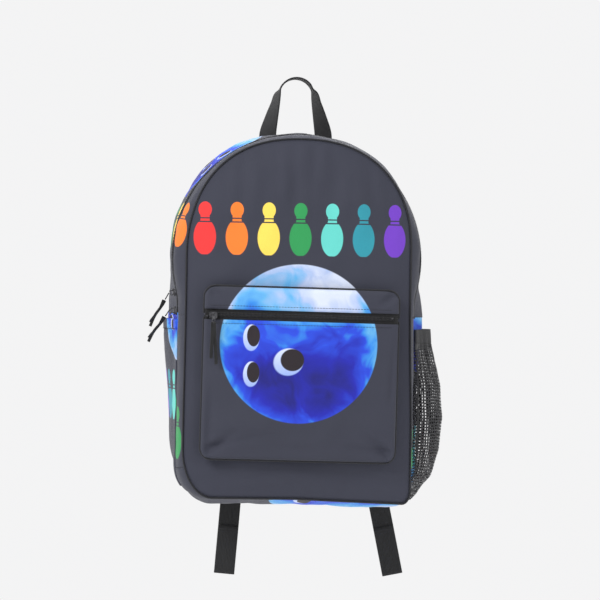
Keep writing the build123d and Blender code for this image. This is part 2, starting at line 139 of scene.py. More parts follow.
# ---------------------------------------------------------------- material nodes
class Tree:
    """A material whose nodes are written as sums."""

    def __init__(self, name, roughness=0.8, metallic=0.0, sheen=0.0):
        self.mat = bpy.data.materials.new(name)
        self.mat.use_nodes = True
        self.tree = self.mat.node_tree
        self.shader = self.tree.nodes["Principled BSDF"]
        self.shader.inputs["Roughness"].default_value = roughness
        self.shader.inputs["Metallic"].default_value = metallic
        self.shader.inputs["Sheen Weight"].default_value = sheen
        self.shader.inputs["Sheen Roughness"].default_value = 0.45

    def put(self, socket, value):
        if isinstance(value, bpy.types.NodeSocket):
            self.tree.links.new(value, socket)
        elif value is not None:
            socket.default_value = value

    def add(self, kind, **values):
        node = self.tree.nodes.new(kind)
        for key, value in values.items():
            setattr(node, key, value)
        return node

    def math(self, operation, a, b=None, c=None, clamp=False):
        node = self.add("ShaderNodeMath", operation=operation, use_clamp=clamp)
        for socket, value in zip(node.inputs, (a, b, c)):
            self.put(socket, value)
        return node.outputs[0]

    def madd(self, a, b, c, clamp=False):
        return self.math("MULTIPLY_ADD", a, b, c, clamp)

    def mul(self, a, b):
        return self.math("MULTIPLY", a, b)

    def sub(self, a, b, clamp=False):
        return self.math("SUBTRACT", a, b, clamp=clamp)

    def div(self, a, b):
        return self.math("DIVIDE", a, b)

    def sine(self, a):
        return self.math("SINE", a)

    def length(self, a, b):
        return self.math("SQRT", self.math("ADD", self.mul(a, a), self.mul(b, b)))

    def under(self, value, edge, soft):
        """1 below the edge, 0 above it."""
        return self.sub(1, self.step(value, edge, soft))

    def scaled(self, colour, share):
        node = self.add("ShaderNodeVectorMath", operation="SCALE")
        self.put(node.inputs[0], colour)
        self.put(node.inputs["Scale"], share)
        return node.outputs[0]

    def rough(self, value):
        self.put(self.shader.inputs["Roughness"], value)

    def mix(self, share, a, b):
        node = self.add("ShaderNodeMix", data_type="RGBA")
        self.put(node.inputs["Factor"], share)
        for socket, value in ((node.inputs[6], a), (node.inputs[7], b)):
            self.put(socket, (*value, 1) if isinstance(value, tuple) and len(value) == 3 else value)
        return node.outputs[2]

    def ramp(self, share, stops, interpolation="LINEAR"):
        node = self.add("ShaderNodeValToRGB")
        node.color_ramp.interpolation = interpolation
        while len(node.color_ramp.elements) < len(stops):
            node.color_ramp.elements.new(0.5)
        for element, (place, colour) in zip(node.color_ramp.elements, stops):
            element.position = place
            element.color = (*colour, 1)
        self.put(node.inputs["Fac"], share)
        return node.outputs["Color"]

    def step(self, value, edge, soft):
        """0 below the edge, 1 above it, over a soft width."""
        return self.madd(self.sub(value, edge), 1 / soft, 0.5, clamp=True)

    def noise(self, vector, scale, detail=2.0, rough=0.5):
        node = self.add("ShaderNodeTexNoise")
        self.put(node.inputs["Vector"], vector)
        node.inputs["Scale"].default_value = scale
        node.inputs["Detail"].default_value = detail
        node.inputs["Roughness"].default_value = rough
        return node.outputs["Fac"]

    def grain(self, scale, detail=2.0, rough=0.5):
        return self.noise(self.place(), scale, detail, rough)

    def net(self, cell, randomness, edge, soft):
        """The threads between a net's cells."""
        node = self.add("ShaderNodeTexVoronoi", feature="DISTANCE_TO_EDGE")
        node.inputs["Scale"].default_value = 1 / cell
        node.inputs["Randomness"].default_value = randomness
        self.put(node.inputs["Vector"], self.place("UV"))
        return self.under(node.outputs["Distance"], edge, soft)

    def place(self, source="Object"):
        return self.add("ShaderNodeTexCoord").outputs[source]

    def uv(self):
        split = self.add("ShaderNodeSeparateXYZ")
        self.put(split.inputs[0], self.place("UV"))
        return split.outputs[0], split.outputs[1]

    def bump(self, height, distance, strength=1.0):
        node = self.add("ShaderNodeBump")
        node.inputs["Distance"].default_value = distance
        node.inputs["Strength"].default_value = strength
        self.put(node.inputs["Height"], height)
        self.put(self.shader.inputs["Normal"], node.outputs[0])

    def colour(self, value):
        self.put(self.shader.inputs["Base Color"], value)

    def finished(self, colour, roughness, height, depth, strength):
        """The material with its colour, its roughness and its relief."""
        self.colour(colour)
        self.rough(roughness)
        self.bump(height, depth, strength)
        return self.mat


def woven(tree, base, pitch=0.9 * MM, contrast=0.14, depth=0.25 * MM):
    """Plain weave over the fabric's own UV, in metres, and the height of its threads."""
    u, v = tree.uv()
    threads = tree.mul(*(tree.sine(tree.mul(way, 2 * math.pi / pitch)) for way in (u, v)))
    grain = tree.grain(900, 2)
    cloud = tree.grain(14, 3)
    height = tree.madd(threads, 0.35, tree.mul(grain, 0.9))
    shade = tree.madd(height, contrast, 1 - contrast * 0.5)
    shade = tree.mul(shade, tree.madd(cloud, 0.12, 0.94))
    tree.bump(height, depth, 0.7)
    tree.rough(tree.madd(grain, 0.14, 0.7))
    return tree.scaled(base, shade)


SLATE = (0.0275, 0.0298, 0.049)
RAINBOW = (
    (0.78, 0.03, 0.03),
    (0.9, 0.2, 0.02),
    (0.93, 0.68, 0.1),
    (0.02, 0.3, 0.08),
    (0.12, 0.62, 0.55),
    (0.02, 0.28, 0.36),
    (0.16, 0.04, 0.52),
)
BALL = (
    (0.0, (0.003, 0.003, 0.16)),
    (0.28, (0.006, 0.01, 0.4)),
    (0.47, (0.012, 0.06, 0.66)),
    (0.58, (0.03, 0.25, 0.74)),
    (0.7, (0.12, 0.42, 0.76)),
    (0.86, (0.42, 0.52, 0.78)),
    (1.0, (0.64, 0.7, 0.86)),
)
HOLES = ((-0.575, 0.1, 0.082, 0.135), (-0.575, -0.36, 0.08, 0.13), (-0.08, -0.2, 0.15, 0.14))


def ball_print(tree, under, u, v, centre, radius, upside_down=False):
    """A marbled blue ball with three finger holes, laid over a colour."""
    radius = -radius if upside_down else radius
    p = tree.div(tree.sub(u, centre[0]), radius)
    q = tree.div(tree.sub(v, centre[1]), radius)
    join = tree.add("ShaderNodeCombineXYZ")
    tree.put(join.inputs[0], p)
    tree.put(join.inputs[1], q)
    spot = join.outputs[0]
    from_middle = tree.length(p, q)
    warp = tree.add("ShaderNodeVectorMath", operation="MULTIPLY_ADD")
    swirl = tree.add("ShaderNodeTexNoise")
    swirl.inputs["Scale"].default_value = 1.3
    tree.put(swirl.inputs["Vector"], spot)
    tree.put(warp.inputs[0], swirl.outputs["Color"])
    warp.inputs[1].default_value = (1.7, 0.9, 0)
    tree.put(warp.inputs[2], spot)
    streak = tree.noise(warp.outputs[0], 1.5, 3, 0.5)
    fine = tree.noise(warp.outputs[0], 5.0, 2, 0.5)
    lift = tree.madd(q, 0.24, 0.44)
    lift = tree.madd(tree.sub(streak, 0.5), 0.9, lift)
    lift = tree.madd(tree.sub(fine, 0.5), 0.3, lift)
    for x, z, squash, fade, strength in ((0.0, -0.5, 3, 1.5, -0.3), (0.15, 0.55, 4, 1.6, 0.34)):
        dx, dz = tree.sub(p, x), tree.sub(q, z)
        far = tree.math("ADD", tree.mul(dx, dx), tree.mul(tree.mul(dz, dz), squash))
        lift = tree.madd(tree.sub(1, tree.mul(far, fade), clamp=True), strength, lift)
    lift = tree.madd(tree.step(from_middle, 0.9, 0.3), 0.26, lift)
    colour = tree.ramp(lift, BALL)
    for x, z, wide, tall in HOLES:
        hx = tree.div(tree.sub(p, x), wide)
        hz = tree.div(tree.sub(q, z), tall)
        inside = tree.length(hx, hz)
        low = tree.madd(hx, -0.26, tree.mul(hz, -0.14))
        edge = tree.sub(inside, low)
        lip = tree.mix(tree.madd(hz, 0.35, 0.5, clamp=True), (0.3, 0.42, 0.82), (0.7, 0.76, 0.92))
        colour = tree.mix(tree.under(edge, 1.16, 0.1), colour, lip)
        colour = tree.mix(tree.under(inside, 1.0, 0.08), colour, (0.012, 0.006, 0.01))
    return tree.mix(tree.under(from_middle, 1.0, 0.012), under, colour)


def pin_print(tree, under, u, v, left, base, pitch, height, first=0):
    """A row of seven plain pins in seven colours, laid over a colour."""
    cell = tree.div(tree.sub(u, left), pitch)
    index = tree.math("FLOOR", cell)
    x = tree.mul(tree.sub(tree.sub(cell, index), 0.5), pitch)
    z = tree.sub(v, base)

    def disc(place, wide, tall):
        return tree.length(tree.div(x, wide), tree.div(tree.sub(z, place), tall))

    belly = disc(height * 0.33, height * 0.21, height * 0.34)
    head = disc(height * 0.85, height * 0.125, height * 0.15)
    neck = tree.math(
        "MAXIMUM",
        tree.div(tree.math("ABSOLUTE", x), height * 0.085),
        tree.div(tree.math("ABSOLUTE", tree.sub(z, height * 0.66)), height * 0.16),
    )
    shape = tree.math("MINIMUM", tree.math("MINIMUM", belly, head), neck)
    cover = tree.under(shape, 1.0, 0.05)
    for place in (0.62, 0.69):
        band = tree.math("ABSOLUTE", tree.sub(z, height * place))
        cover = tree.mul(cover, tree.step(band, height * 0.012, 0.3 * MM))
    cover = tree.mul(cover, tree.step(z, 0.0, 0.6 * MM))
    cover = tree.mul(cover, tree.step(cell, 0.0, 0.01))
    cover = tree.mul(cover, tree.under(cell, 7.0, 0.01))
    turn = tree.math("FRACT", tree.div(tree.math("ADD", index, 0.5 + first), 7))
    stops = [(i / 7, colour) for i, colour in enumerate(RAINBOW)]
    return tree.mix(cover, under, tree.ramp(turn, stops, "CONSTANT"))


def printed_fabric(name, balls=(), pins=(), base=SLATE):
    """Slate polyester with its print."""
    tree = Tree(name, 0.78, sheen=0.12)
    u, v = tree.uv()
    colour = tree.mix(0.0, base, base)
    for row in pins:
        colour = pin_print(tree, colour, u, v, *row)
    for ball in balls:
        colour = ball_print(tree, colour, u, v, *ball)
    tree.colour(woven(tree, colour))
    return tree.mat


def plain_fabric(name, base, pitch=0.9 * MM, contrast=0.3, depth=0.3 * MM):
    """A woven cloth of one colour."""
    tree = Tree(name, 0.85, sheen=0.1)
    tree.colour(woven(tree, base, pitch, contrast, depth))
    return tree.mat


def webbing_material(name, base, rib=1.7 * MM):
    """Ribbed webbing: ribs along its length and a fine cross weave."""
    tree = Tree(name, 0.72, sheen=0.08)
    u, v = tree.uv()
    ribs = tree.sine(tree.mul(v, 2 * math.pi / rib))
    cross = tree.sine(tree.mul(u, 2 * math.pi / (rib * 0.55)))
    weave = tree.madd(tree.mul(ribs, cross), 0.5, tree.mul(ribs, 0.5))
    grain = tree.grain(1400, 2)
    height = tree.madd(grain, 0.5, weave)
    shade = tree.madd(height, 0.22, 0.85)
    return tree.finished(tree.scaled(base, shade), tree.madd(grain, 0.2, 0.6), height, 0.35 * MM, 0.9)


def spacer_mesh(name, base, cell=2.6 * MM):
    """Air mesh: a hexagonal net of small hollows."""
    tree = Tree(name, 0.9, sheen=0.15)
    net = tree.net(cell, 0.25, 0.16, 0.2)
    grain = tree.grain(1200, 2)
    shade = tree.mul(tree.madd(net, 0.75, 0.3), tree.madd(grain, 0.4, 0.8))
    relief = tree.madd(grain, 0.15, net)
    return tree.finished(tree.scaled(base, shade), tree.madd(grain, 0.15, 0.8), relief, 0.8 * MM, 0.9)


def open_mesh(name, base, cell=3.0 * MM):
    """Knitted pocket mesh, open between its threads."""
    tree = Tree(name, 0.75, sheen=0.1)
    net = tree.net(cell, 0.2, 0.19, 0.05)
    tree.put(tree.shader.inputs["Alpha"], net)
    grain = tree.grain(1600, 2)
    colour = tree.scaled(base, tree.madd(grain, 0.9, 0.6))
    return tree.finished(colour, tree.madd(grain, 0.2, 0.62), tree.madd(grain, 0.4, net), 0.3 * MM, 0.7)


def worn_metal(name, base, roughness):
    """Dark plated metal with rubbed patches."""
    tree = Tree(name, roughness, metallic=0.9)
    rub = tree.grain(420, 4, 0.6)
    colour = tree.mix(tree.step(rub, 0.56, 0.25), base, tuple(min(1, c * 1.9 + 0.05) for c in base))
    return tree.finished(colour, tree.madd(rub, 0.3, roughness - 0.12), rub, 0.05 * MM, 0.4)


def moulded_plastic(name, base):
    """Moulded acetal with a faint spark-eroded grain."""
    tree = Tree(name, 0.42)
    grain = tree.grain(1500, 3)
    colour = tree.mix(grain, base, tuple(c * 1.5 for c in base))
    return tree.finished(colour, tree.madd(grain, 0.25, 0.32), grain, 0.06 * MM, 0.5)


pocket_zip_z = (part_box("pocket_zip_coil_upper")[0].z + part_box("pocket_zip_coil_lower")[1].z) / 2
BALL_PLACE = ((0.5 * MM, pocket_zip_z - 31 * MM), 91 * MM)
PIN_ROW = (-0.1285, arch_z + 3 * MM, 36.8 * MM, 61 * MM)
front_cloth = printed_fabric("front_print", [BALL_PLACE], [PIN_ROW])
(ball_x, ball_z), ball_radius = BALL_PLACE
pocket_cloth = printed_fabric("pocket_print", [((ball_x - 1.5 * MM, ball_z - MM), ball_radius)])
plain_cloth = printed_fabric("plain_print")
lining = plain_fabric("lining_cloth", (0.018, 0.018, 0.022), 0.7 * MM)
binding = webbing_material("binding_tape", (0.012, 0.012, 0.016), 1.1 * MM)
# Piping cloth darker than the bag's slate: its darkness is painted shade, standing in for the shadow in the
# seam grooves.
piping_painted_seam_shade = plain_fabric("piping_painted_seam_shade", (0.01, 0.0105, 0.015), 0.6 * MM)
zip_tape = webbing_material("zip_tape_weave", (0.006, 0.006, 0.007), 0.9 * MM)
zip_teeth = moulded_plastic("zip_coil_plastic", (0.012, 0.012, 0.014))
metal = worn_metal("zip_metal_dark", (0.05, 0.05, 0.055), 0.34)
black_webbing = webbing_material("black_webbing", (0.0065, 0.0065, 0.0075))
ribbon_weave = webbing_material("ribbon_weave", (0.006, 0.006, 0.007), 0.9 * MM)
air_mesh = spacer_mesh("air_mesh", (0.022, 0.022, 0.026))
pocket_mesh = open_mesh("pocket_mesh", (0.012, 0.012, 0.015), 3.6 * MM)
elastic_weave = webbing_material("elastic_weave", (0.008, 0.008, 0.011), 1.3 * MM)
elastic_grey = webbing_material("elastic_grey", (0.04, 0.04, 0.042), 1.3 * MM)
thread = plain_fabric("thread", (0.012, 0.0125, 0.018), 0.4 * MM)
buckle = moulded_plastic("buckle_plastic", (0.012, 0.012, 0.014))


# ---------------------------------------------------------------- mesh makers
def piece(name, points, faces, uvs, material=None):
    """A mesh object from points and faces, with a UV for each point."""
    mesh = bpy.data.meshes.new(name)
    mesh.from_pydata([tuple(p) for p in points], [], faces)
    layer = mesh.uv_layers.new(name="Cloth")
    loops = np.zeros(len(mesh.loops), np.int32)
    mesh.loops.foreach_get("vertex_index", loops)
    layer.data.foreach_set("uv", np.asarray(uvs, np.float32)[loops].ravel())
    mesh.shade_smooth()
    obj = bpy.data.objects.new(name, mesh)
    bpy.context.scene.collection.objects.link(obj)
    if material:
        mesh.materials.append(material)
    return obj


def quads(rows, columns, closed=False, flip=False):
    """The faces between rows of points."""
    faces = []
    for i in range(rows if closed else rows - 1):
        for j in range(columns - 1):
            a, b = i * columns + j, ((i + 1) % rows) * columns + j
            quad = (a, a + 1, b + 1, b)
            faces.append(quad[::-1] if flip else quad)
    return faces


def grid(name, points, uvs, material, closed=False, flip=False):
    """A sheet from rows of points. closed joins the last row to the first."""
    faces = quads(*points.shape[:2], closed, flip)
    return piece(name, points.reshape(-1, 3), faces, uvs.reshape(-1, 2), material)


def apply_modifiers(obj):
    """Leaves the piece as its modifiers show it."""
    graph = bpy.context.evaluated_depsgraph_get()
    shown = obj.evaluated_get(graph)
    mesh = bpy.data.meshes.new_from_object(shown, preserve_all_data_layers=True, depsgraph=graph)
    obj.modifiers.clear()
    obj.data = mesh


CENTRE_Z = -0.285
MIDDLE = Vector((0, -48 * MM, CENTRE_Z))
CLOTH = 1.6 * MM
# Length, width and height of one stitch and of one tooth
STITCH = (2.5 * MM, 0.62 * MM, 0.5 * MM)
TOOTH = (3.2 * MM, 1.1 * MM, 1.5 * MM)
POCKET_TOOTH = (3.3 * MM, 1.1 * MM, 1.5 * MM)


def face_out(obj, centre=MIDDLE):
    """Turns a sheet's faces away from a centre."""
    turned = sum((p.center - centre).dot(p.normal) * p.area for p in obj.data.polygons)
    if turned < 0:
        obj.data.flip_normals()


def cut_size(mesh, fullness):
    """The cloth's flat width, length and area: its own measure, grown to the surface it covers."""
    uv = np.array([d.uv[:] for d in mesh.uv_layers[0].data])
    area = 0.0
    for p in mesh.polygons:
        ring = uv[list(p.loop_indices)]
        across, along = ring[:, 0], ring[:, 1]
        area += abs(np.dot(across, np.roll(along, -1)) - np.dot(along, np.roll(across, -1))) / 2
    growth = max(1.0, sum(p.area for p in mesh.polygons) / area)
    wide, long = np.ptp(uv, axis=0) * growth**0.5
    wide, area = wide * fullness, area * growth * fullness
    return (float(wide), float(long)), float(min(area, wide * long))


def thicken(obj, thickness, inner=None, held="stretched", centre=MIDDLE):
    """Gives a sheet its thickness inwards, with a second material inside; its cut is measured but not kept.
    """
    face_out(obj, centre)
    flat, area = cut_size(obj.data, 1.06 if held == "gathered" else 1.0)
    if inner:
        obj.data.materials.append(inner)
    solid = obj.modifiers.new("cloth", "SOLIDIFY")
    solid.thickness = thickness
    solid.offset = -1
    solid.use_rim = True
    if inner:
        solid.material_offset = 1
    apply_modifiers(obj)
    obj.data.shade_smooth()


def hand_over(obj, body, slot, *nodes):
    """The piece rides on a body, or is baked in place when it spans two, and stands for its nodes, which are
    hidden; its slot is not used.
    """
    if isinstance(body, str):
        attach(obj, body)
    else:
        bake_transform(obj)
    if nodes:
        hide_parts(*nodes)
    return obj


def tangents(path, closed=False):
    """The unit direction at each point of a path."""
    way = np.roll(path, -1, 0) - np.roll(path, 1, 0) if closed else np.gradient(path, axis=0)
    return way / np.linalg.norm(way, axis=1)[:, None]


def tube_faces(count, around, closed=False):
    """The faces of a tube, with its ends closed."""
    faces = []
    for i in range(count if closed else count - 1):
        for j in range(around):
            a, b = i * around, ((i + 1) % count) * around
            k = (j + 1) % around
            faces.append((a + j, a + k, b + k, b + j))
    if not closed:
        faces.append(tuple(range(around))[::-1])
        faces.append(tuple((count - 1) * around + j for j in range(around)))
    return faces


def sweep(name, path, across, up, section, material, closed=False):
    """A section of (across, up) pairs carried along a path, turned to the frame at each point."""
    path = np.asarray(path, float)
    across, up = (np.broadcast_to(a, path.shape) for a in (across, up))
    count, around = len(path), len(section)
    points = path[:, None] + across[:, None] * section[None, :, :1] + up[:, None] * section[None, :, 1:]
    uvs = crossed(run_length(path), run_length(section)).reshape(-1, 2)
    return piece(name, points.reshape(-1, 3), tube_faces(count, around, closed), uvs, material)


def joined(name, parts, material):
    """One piece from several."""
    points, faces, uvs = [], [], []
    for part in parts:
        start = len(points)
        points += [v.co.copy() for v in part.data.vertices]
        faces += [tuple(start + v for v in p.vertices) for p in part.data.polygons]
        layer = {l.vertex_index: tuple(part.data.uv_layers[0].data[l.index].uv) for l in part.data.loops}
        uvs += [layer[k] for k in range(len(part.data.vertices))]
        bpy.data.objects.remove(part)
    return piece(name, points, faces, uvs, material)


def signed_power(value, power):
    return np.sign(value) * np.abs(value) ** power


def crossed(rows, columns):
    """Every pair of one of the rows' values and one of the columns'."""
    return np.stack(np.broadcast_arrays(rows[:, None], columns[None, :]), -1)


def at_depth(flat, y):
    """Points of the XZ plane set at a depth, or each at its own."""
    return np.stack([flat[..., 0], np.broadcast_to(y, flat.shape[:-1]), flat[..., 1]], -1)


def arc_points(x, z, radius, start, end, count):
    """Points round a centre from one angle to another."""
    return [(x + radius * math.cos(a), z + radius * math.sin(a)) for a in np.linspace(start, end, count)]


def oval(width, height, sides=16, power=2.0):
    """A rounded section."""
    turns = np.arange(sides) * 2 * math.pi / sides
    wide = signed_power(np.cos(turns), 2 / power) * width / 2
    return np.stack([wide, signed_power(np.sin(turns), 2 / power) * height / 2], -1)


def strap_section(width, height):
    """Flat webbing with rounded edges."""
    return oval(width, height, 28, 7)


def scatter(name, spots, along, across, up, size, material):
    """Small rounded grains, such as stitches or zip teeth, one at each spot."""
    along, across, up = (np.broadcast_to(a, spots.shape) for a in (along, across, up))
    rings = ((-1.0, 0.0), (-0.72, 0.8), (0.0, 1.0), (0.72, 0.8), (1.0, 0.0))
    local, faces = [], []
    for place, wide in rings:
        for k in range(1 if wide == 0 else 6):
            turn = k * math.pi / 3
            local.append((place, wide * math.cos(turn), wide * math.sin(turn)))
    starts = (0, 1, 7, 13, 19)
    for k in range(6):
        n = (k + 1) % 6
        faces.append((0, 1 + n, 1 + k))
        faces.append((19, 13 + k, 13 + n))
        for ring in (1, 2):
            a, b = starts[ring], starts[ring + 1]
            faces.append((a + k, a + n, b + n, b + k))
    local = np.array(local) * size / 2
    points = (
        spots[:, None]
        + along[:, None] * local[None, :, :1]
        + across[:, None] * local[None, :, 1:2]
        + up[:, None] * local[None, :, 2:]
    )
    count = len(local)
    all_faces = [tuple(i * count + v for v in face) for i in range(len(spots)) for face in faces]
    uvs = np.tile(local[:, :2], (len(spots), 1))
    return piece(name, points.reshape(-1, 3), all_faces, uvs, material)


def run_length(path):
    """How far along its path each point is."""
    return np.r_[0, np.cumsum(np.linalg.norm(np.diff(path, axis=0), axis=1))]


def nearest(values, count):
    """As many of the values as asked for, evenly picked."""
    return values[np.linspace(0, len(values) - 1, count).round().astype(int)]


def resampled(path, pitch):
    """Points along a path a pitch apart, with the tangent at each."""
    run = run_length(path)
    at = np.arange(pitch / 2, run[-1], pitch)
    spots, ahead, behind = (
        np.stack([np.interp(at + shift, run, path[:, k]) for k in range(3)], -1)
        for shift in (0, pitch / 4, -pitch / 4)
    )
    tangent = ahead - behind
    return spots, tangent / np.maximum(np.linalg.norm(tangent, axis=1), 1e-12)[:, None]


def stitch_row(name, path, outward, body, pitch=3.4 * MM):
    """A row of stitches along a path; outward is the cloth's normal at each path point or one for all."""
    spots, tangent = resampled(path, pitch)
    up = outward if outward.ndim == 1 else nearest(outward, len(spots))
    across = np.cross(up, tangent)
    hand_over(scatter(name, spots + up * 0.15 * MM, tangent, across, up, STITCH, thread), body, "shell")


def ripple(points, scale, seed=0.0):
    """Smooth noise, one value for each point, about -1 to 1. scale is one length, or one for each way."""
    flat = points.reshape(-1, 3) / np.asarray(scale) + np.array([seed, seed * 1.7, -seed])
    values = [noise.noise(Vector(p)) for p in flat]
    return np.array(values).reshape(points.shape[:-1])


# ---------------------------------------------------------------- the shell's shape
def smooth_step(x):
    x = np.clip(x, 0, 1)
    return x * x * (3 - 2 * x)


def closed_resample(path, count):
    """Evenly spaced points along a flat path, from its first to its last."""
    run = run_length(path)
    at = np.linspace(0, run[-1], count)
    return np.stack([np.interp(at, run, path[:, k]) for k in range(2)], -1)


def seam_outline(half, top, turn_z, low, power, count):
    """The front seam in the XZ plane, from the base's middle up the left, over the arch and down the right.

    The lower left swells outwards and has the larger corner; the base hangs lower at the right.
    """
    sides = []
    for side, corner, tall, flare, drop in (
        (-1, 34 * MM, 56 * MM, 1 * MM, -0.5 * MM),
        (1, 9 * MM, 16 * MM, 3 * MM, 5.5 * MM),
    ):
        path = [
            (half * math.cos(a) ** (2 / power), turn_z + (top - turn_z) * math.sin(a) ** (2 / power))
            for a in np.linspace(math.pi / 2, 0, 160)
        ]
        path += [(half, z) for z in np.linspace(turn_z, low + tall, 40)[1:]]
        for a in np.linspace(0, -math.pi / 2, 30):
            path.append((half - corner + corner * math.cos(a), low + tall + tall * math.sin(a)))
        path.append((0, low))
        path = np.array(path)
        spread = smooth_step((turn_z - 60 * MM - path[:, 1]) / (150 * MM)) * np.clip(path[:, 0] / half, 0, 1)
        path[:, 0] = path[:, 0] + flare * spread
        path[:, 1] = path[:, 1] - drop * spread**2
        path[:, 0] = path[:, 0] + side * 1.5 * MM * smooth_step((path[:, 1] - turn_z) / (60 * MM))
        sides.append(path * (side, 1))
    left, right = sides
    return closed_resample(np.vstack([left[::-1][:-1], right]), count)


def cad_outline(count=1600):
    """The CAD shell's outline at the main zip."""
    waist = arch_z - math.sqrt(arch_radius**2 - leg_half**2)
    low = math.asin((waist - arch_z) / arch_radius)
    corner_x, corner_z = leg_half - corner_radius, base_z + corner_radius
    right = np.array(
        [
            *arc_points(0, arch_z, arch_radius, math.pi / 2, low, 200),
            (leg_half, corner_z),
            *arc_points(corner_x, corner_z, corner_radius, 0, -math.pi / 2, 30),
            (0, base_z),
        ]
    )
    return closed_resample(np.vstack([right[::-1][:-1] * (-1, 1), right]), count)


RIM = 520
front_half = 130 * MM
turn_z = -214 * MM
rim = seam_outline(front_half, arch_z + arch_radius - 8 * MM, turn_z, base_z + 4 * MM, 2.3, RIM + 1)[:-1]
tangent = tangents(rim, closed=True)
outward = np.stack([-tangent[:, 1], tangent[:, 0]], -1)
rim_length = np.linalg.norm(np.roll(rim, -1, 0) - rim, axis=1).sum()
arc = np.minimum(np.arange(RIM), RIM - np.arange(RIM)) / RIM * rim_length
cad = cad_outline()


def smoothed(values, half):
    """Values round the rim, each averaged with its neighbours."""
    kernel = np.hanning(2 * half + 1)
    kernel /= kernel.sum()
    return np.convolve(np.r_[values[-half:], values, values[:half]], kernel, "valid")


def reach(limit):
    """How far each rim point is from the CAD outline, along its normal."""
    gap = cad[None] - rim[:, None]
    side = np.abs(gap[..., 0] * outward[:, None, 1] - gap[..., 1] * outward[:, None, 0])
    ahead = (gap * outward[:, None]).sum(-1)
    side[(ahead < -12 * MM) | (ahead > limit)] = 1
    best = side.argmin(1)
    found = ahead[np.arange(RIM), best]
    return smoothed(found, 7)


zip_out = reach(40 * MM)
across_x, up_z = outward[:, 0], outward[:, 1]
shoulder = np.exp(-(((np.abs(across_x) - 0.6) / 0.36) ** 2)) * (up_z > 0)
over_arch = zip_out + (1.2 + 1.8 * np.clip(up_z, 0, 1) + 5 * shoulder + 2.2 * across_x * (up_z > 0)) * MM
hip = np.exp(-(((rim[:, 1] - turn_z + 86 * MM) / (52 * MM)) ** 2))
right_hip = np.exp(-(((rim[:, 1] - turn_z + 72 * MM) / (30 * MM)) ** 2))
low_left = smooth_step((turn_z - 110 * MM - rim[:, 1]) / (90 * MM))
left_half = (144.5 + 3.5 * hip - 2 * low_left) * MM
right_half = (150.5 + 2.5 * hip + 5 * right_hip) * MM
full_half = np.where(rim[:, 0] < 0, left_half, right_half)
down_leg = smooth_step((np.abs(across_x) - 0.85) / 0.12)
down_leg = down_leg * smooth_step((turn_z + 10 * MM - rim[:, 1]) / (30 * MM))
sag = smooth_step((-up_z - 0.15) / 0.8) * (9.5 - 2 * np.clip(rim[:, 0] / front_half, 0, 1)) * MM
mid_out = over_arch * (1 - down_leg) + (full_half - np.abs(rim[:, 0])) * down_leg
base_part = smooth_step((-up_z + 0.1) / 0.5)
mid_out = np.maximum(mid_out * (1 - base_part) + 3 * MM * base_part + sag, 2 * MM)
back_out = np.clip(zip_out - 1.5 * MM, 1 * MM, 11 * MM) * (1 - base_part) + (2 * MM + 0.5 * sag) * base_part
mid_out = smoothed(mid_out, 10)
back_out = smoothed(back_out, 10)


def rim_index(low_z, high_z, side):
    """Rim places on one side between two heights, from the top down."""
    half = np.arange(RIM // 2, -1, -1) if side < 0 else np.arange(RIM // 2, RIM + 1) % RIM
    z = rim[half, 1]
    return half[(z >= low_z) & (z <= high_z)]


def length_up(z, side):
    """The side cloth's length from the base up to a height."""
    places = rim_index(z - 4 * MM, z + 4 * MM, side)
    return float(arc[places].mean())


rear_cloth = printed_fabric(
    "rear_print",
    [((84 * MM, length_up(-106 * MM, -1)), 56 * MM)],
    [(-4 * MM, length_up(-207 * MM, -1), 34 * MM, 50 * MM, 1)],
)
side_cloth = printed_fabric(
    "side_print",
    [((66 * MM, length_up(-304 * MM, 1)), 46 * MM)],
    [(4 * MM, length_up(-472 * MM, 1), 24 * MM, 60 * MM, 3)],
)
side_pocket_cloth = printed_fabric(
    "side_pocket_print",
    [((14 * MM, length_up(-292 * MM, -1)), 47 * MM, True)],
    [(2 * MM, length_up(-408 * MM, -1), 24 * MM, 58 * MM, 3)],
)
bottom_cloth = printed_fabric("bottom_print", [((72 * MM, -84 * MM), 100 * MM)])


def hermite(t, a, b, slope_a, slope_b):
    """A cubic from a to b with a slope at each end."""
    rise = 3 * t**2 - 2 * t**3
    return a * (1 - rise) + b * rise + slope_a * (t**3 - 2 * t**2 + t) + slope_b * (t**3 - t**2)


KNOT_Y = np.array(
    [seam_y, seam_y + 6 * MM, zip_front_y - 2 * MM, zip_back_y + 2 * MM, -46 * MM, -8 * MM, back_y]
)


def knot_offsets(index):
    z, m, b = zip_out[index], mid_out[index], back_out[index]
    zero = np.zeros_like(z)
    return np.stack([zero, z * 0.42, z - 0.8 * MM, z, m, m * 0.86 + b * 0.14, b], -1)


def offset_at(index, y):
    """How far the shell stands out from the front seam at each depth: a smooth curve through the knots."""
    values = knot_offsets(index)
    slopes = np.gradient(values, KNOT_Y, axis=-1)
    slopes[:, -1] = 0
    k = np.clip(np.searchsorted(KNOT_Y, y, side="right") - 1, 0, len(KNOT_Y) - 2)
    span = KNOT_Y[k + 1] - KNOT_Y[k]
    t = (y - KNOT_Y[k]) / span
    return hermite(t, values[:, k], values[:, k + 1], slopes[:, k] * span, slopes[:, k + 1] * span)


def shell_points(index, y, extra=0.0):
    """Points of the shell's side at rim places and depths."""
    y = np.asarray(y, float)
    out = offset_at(index, y) + extra
    return at_depth(rim[index][:, None] + outward[index][:, None] * out[..., None], y)


TOP = arch_z + arch_radius
outward3 = at_depth(outward, 0.0)


def side_uv(index, ys):
    """The side cloth's own measure: depth from the front seam, and length up from the base."""
    return crossed(arc[index], ys - seam_y)[..., ::-1]


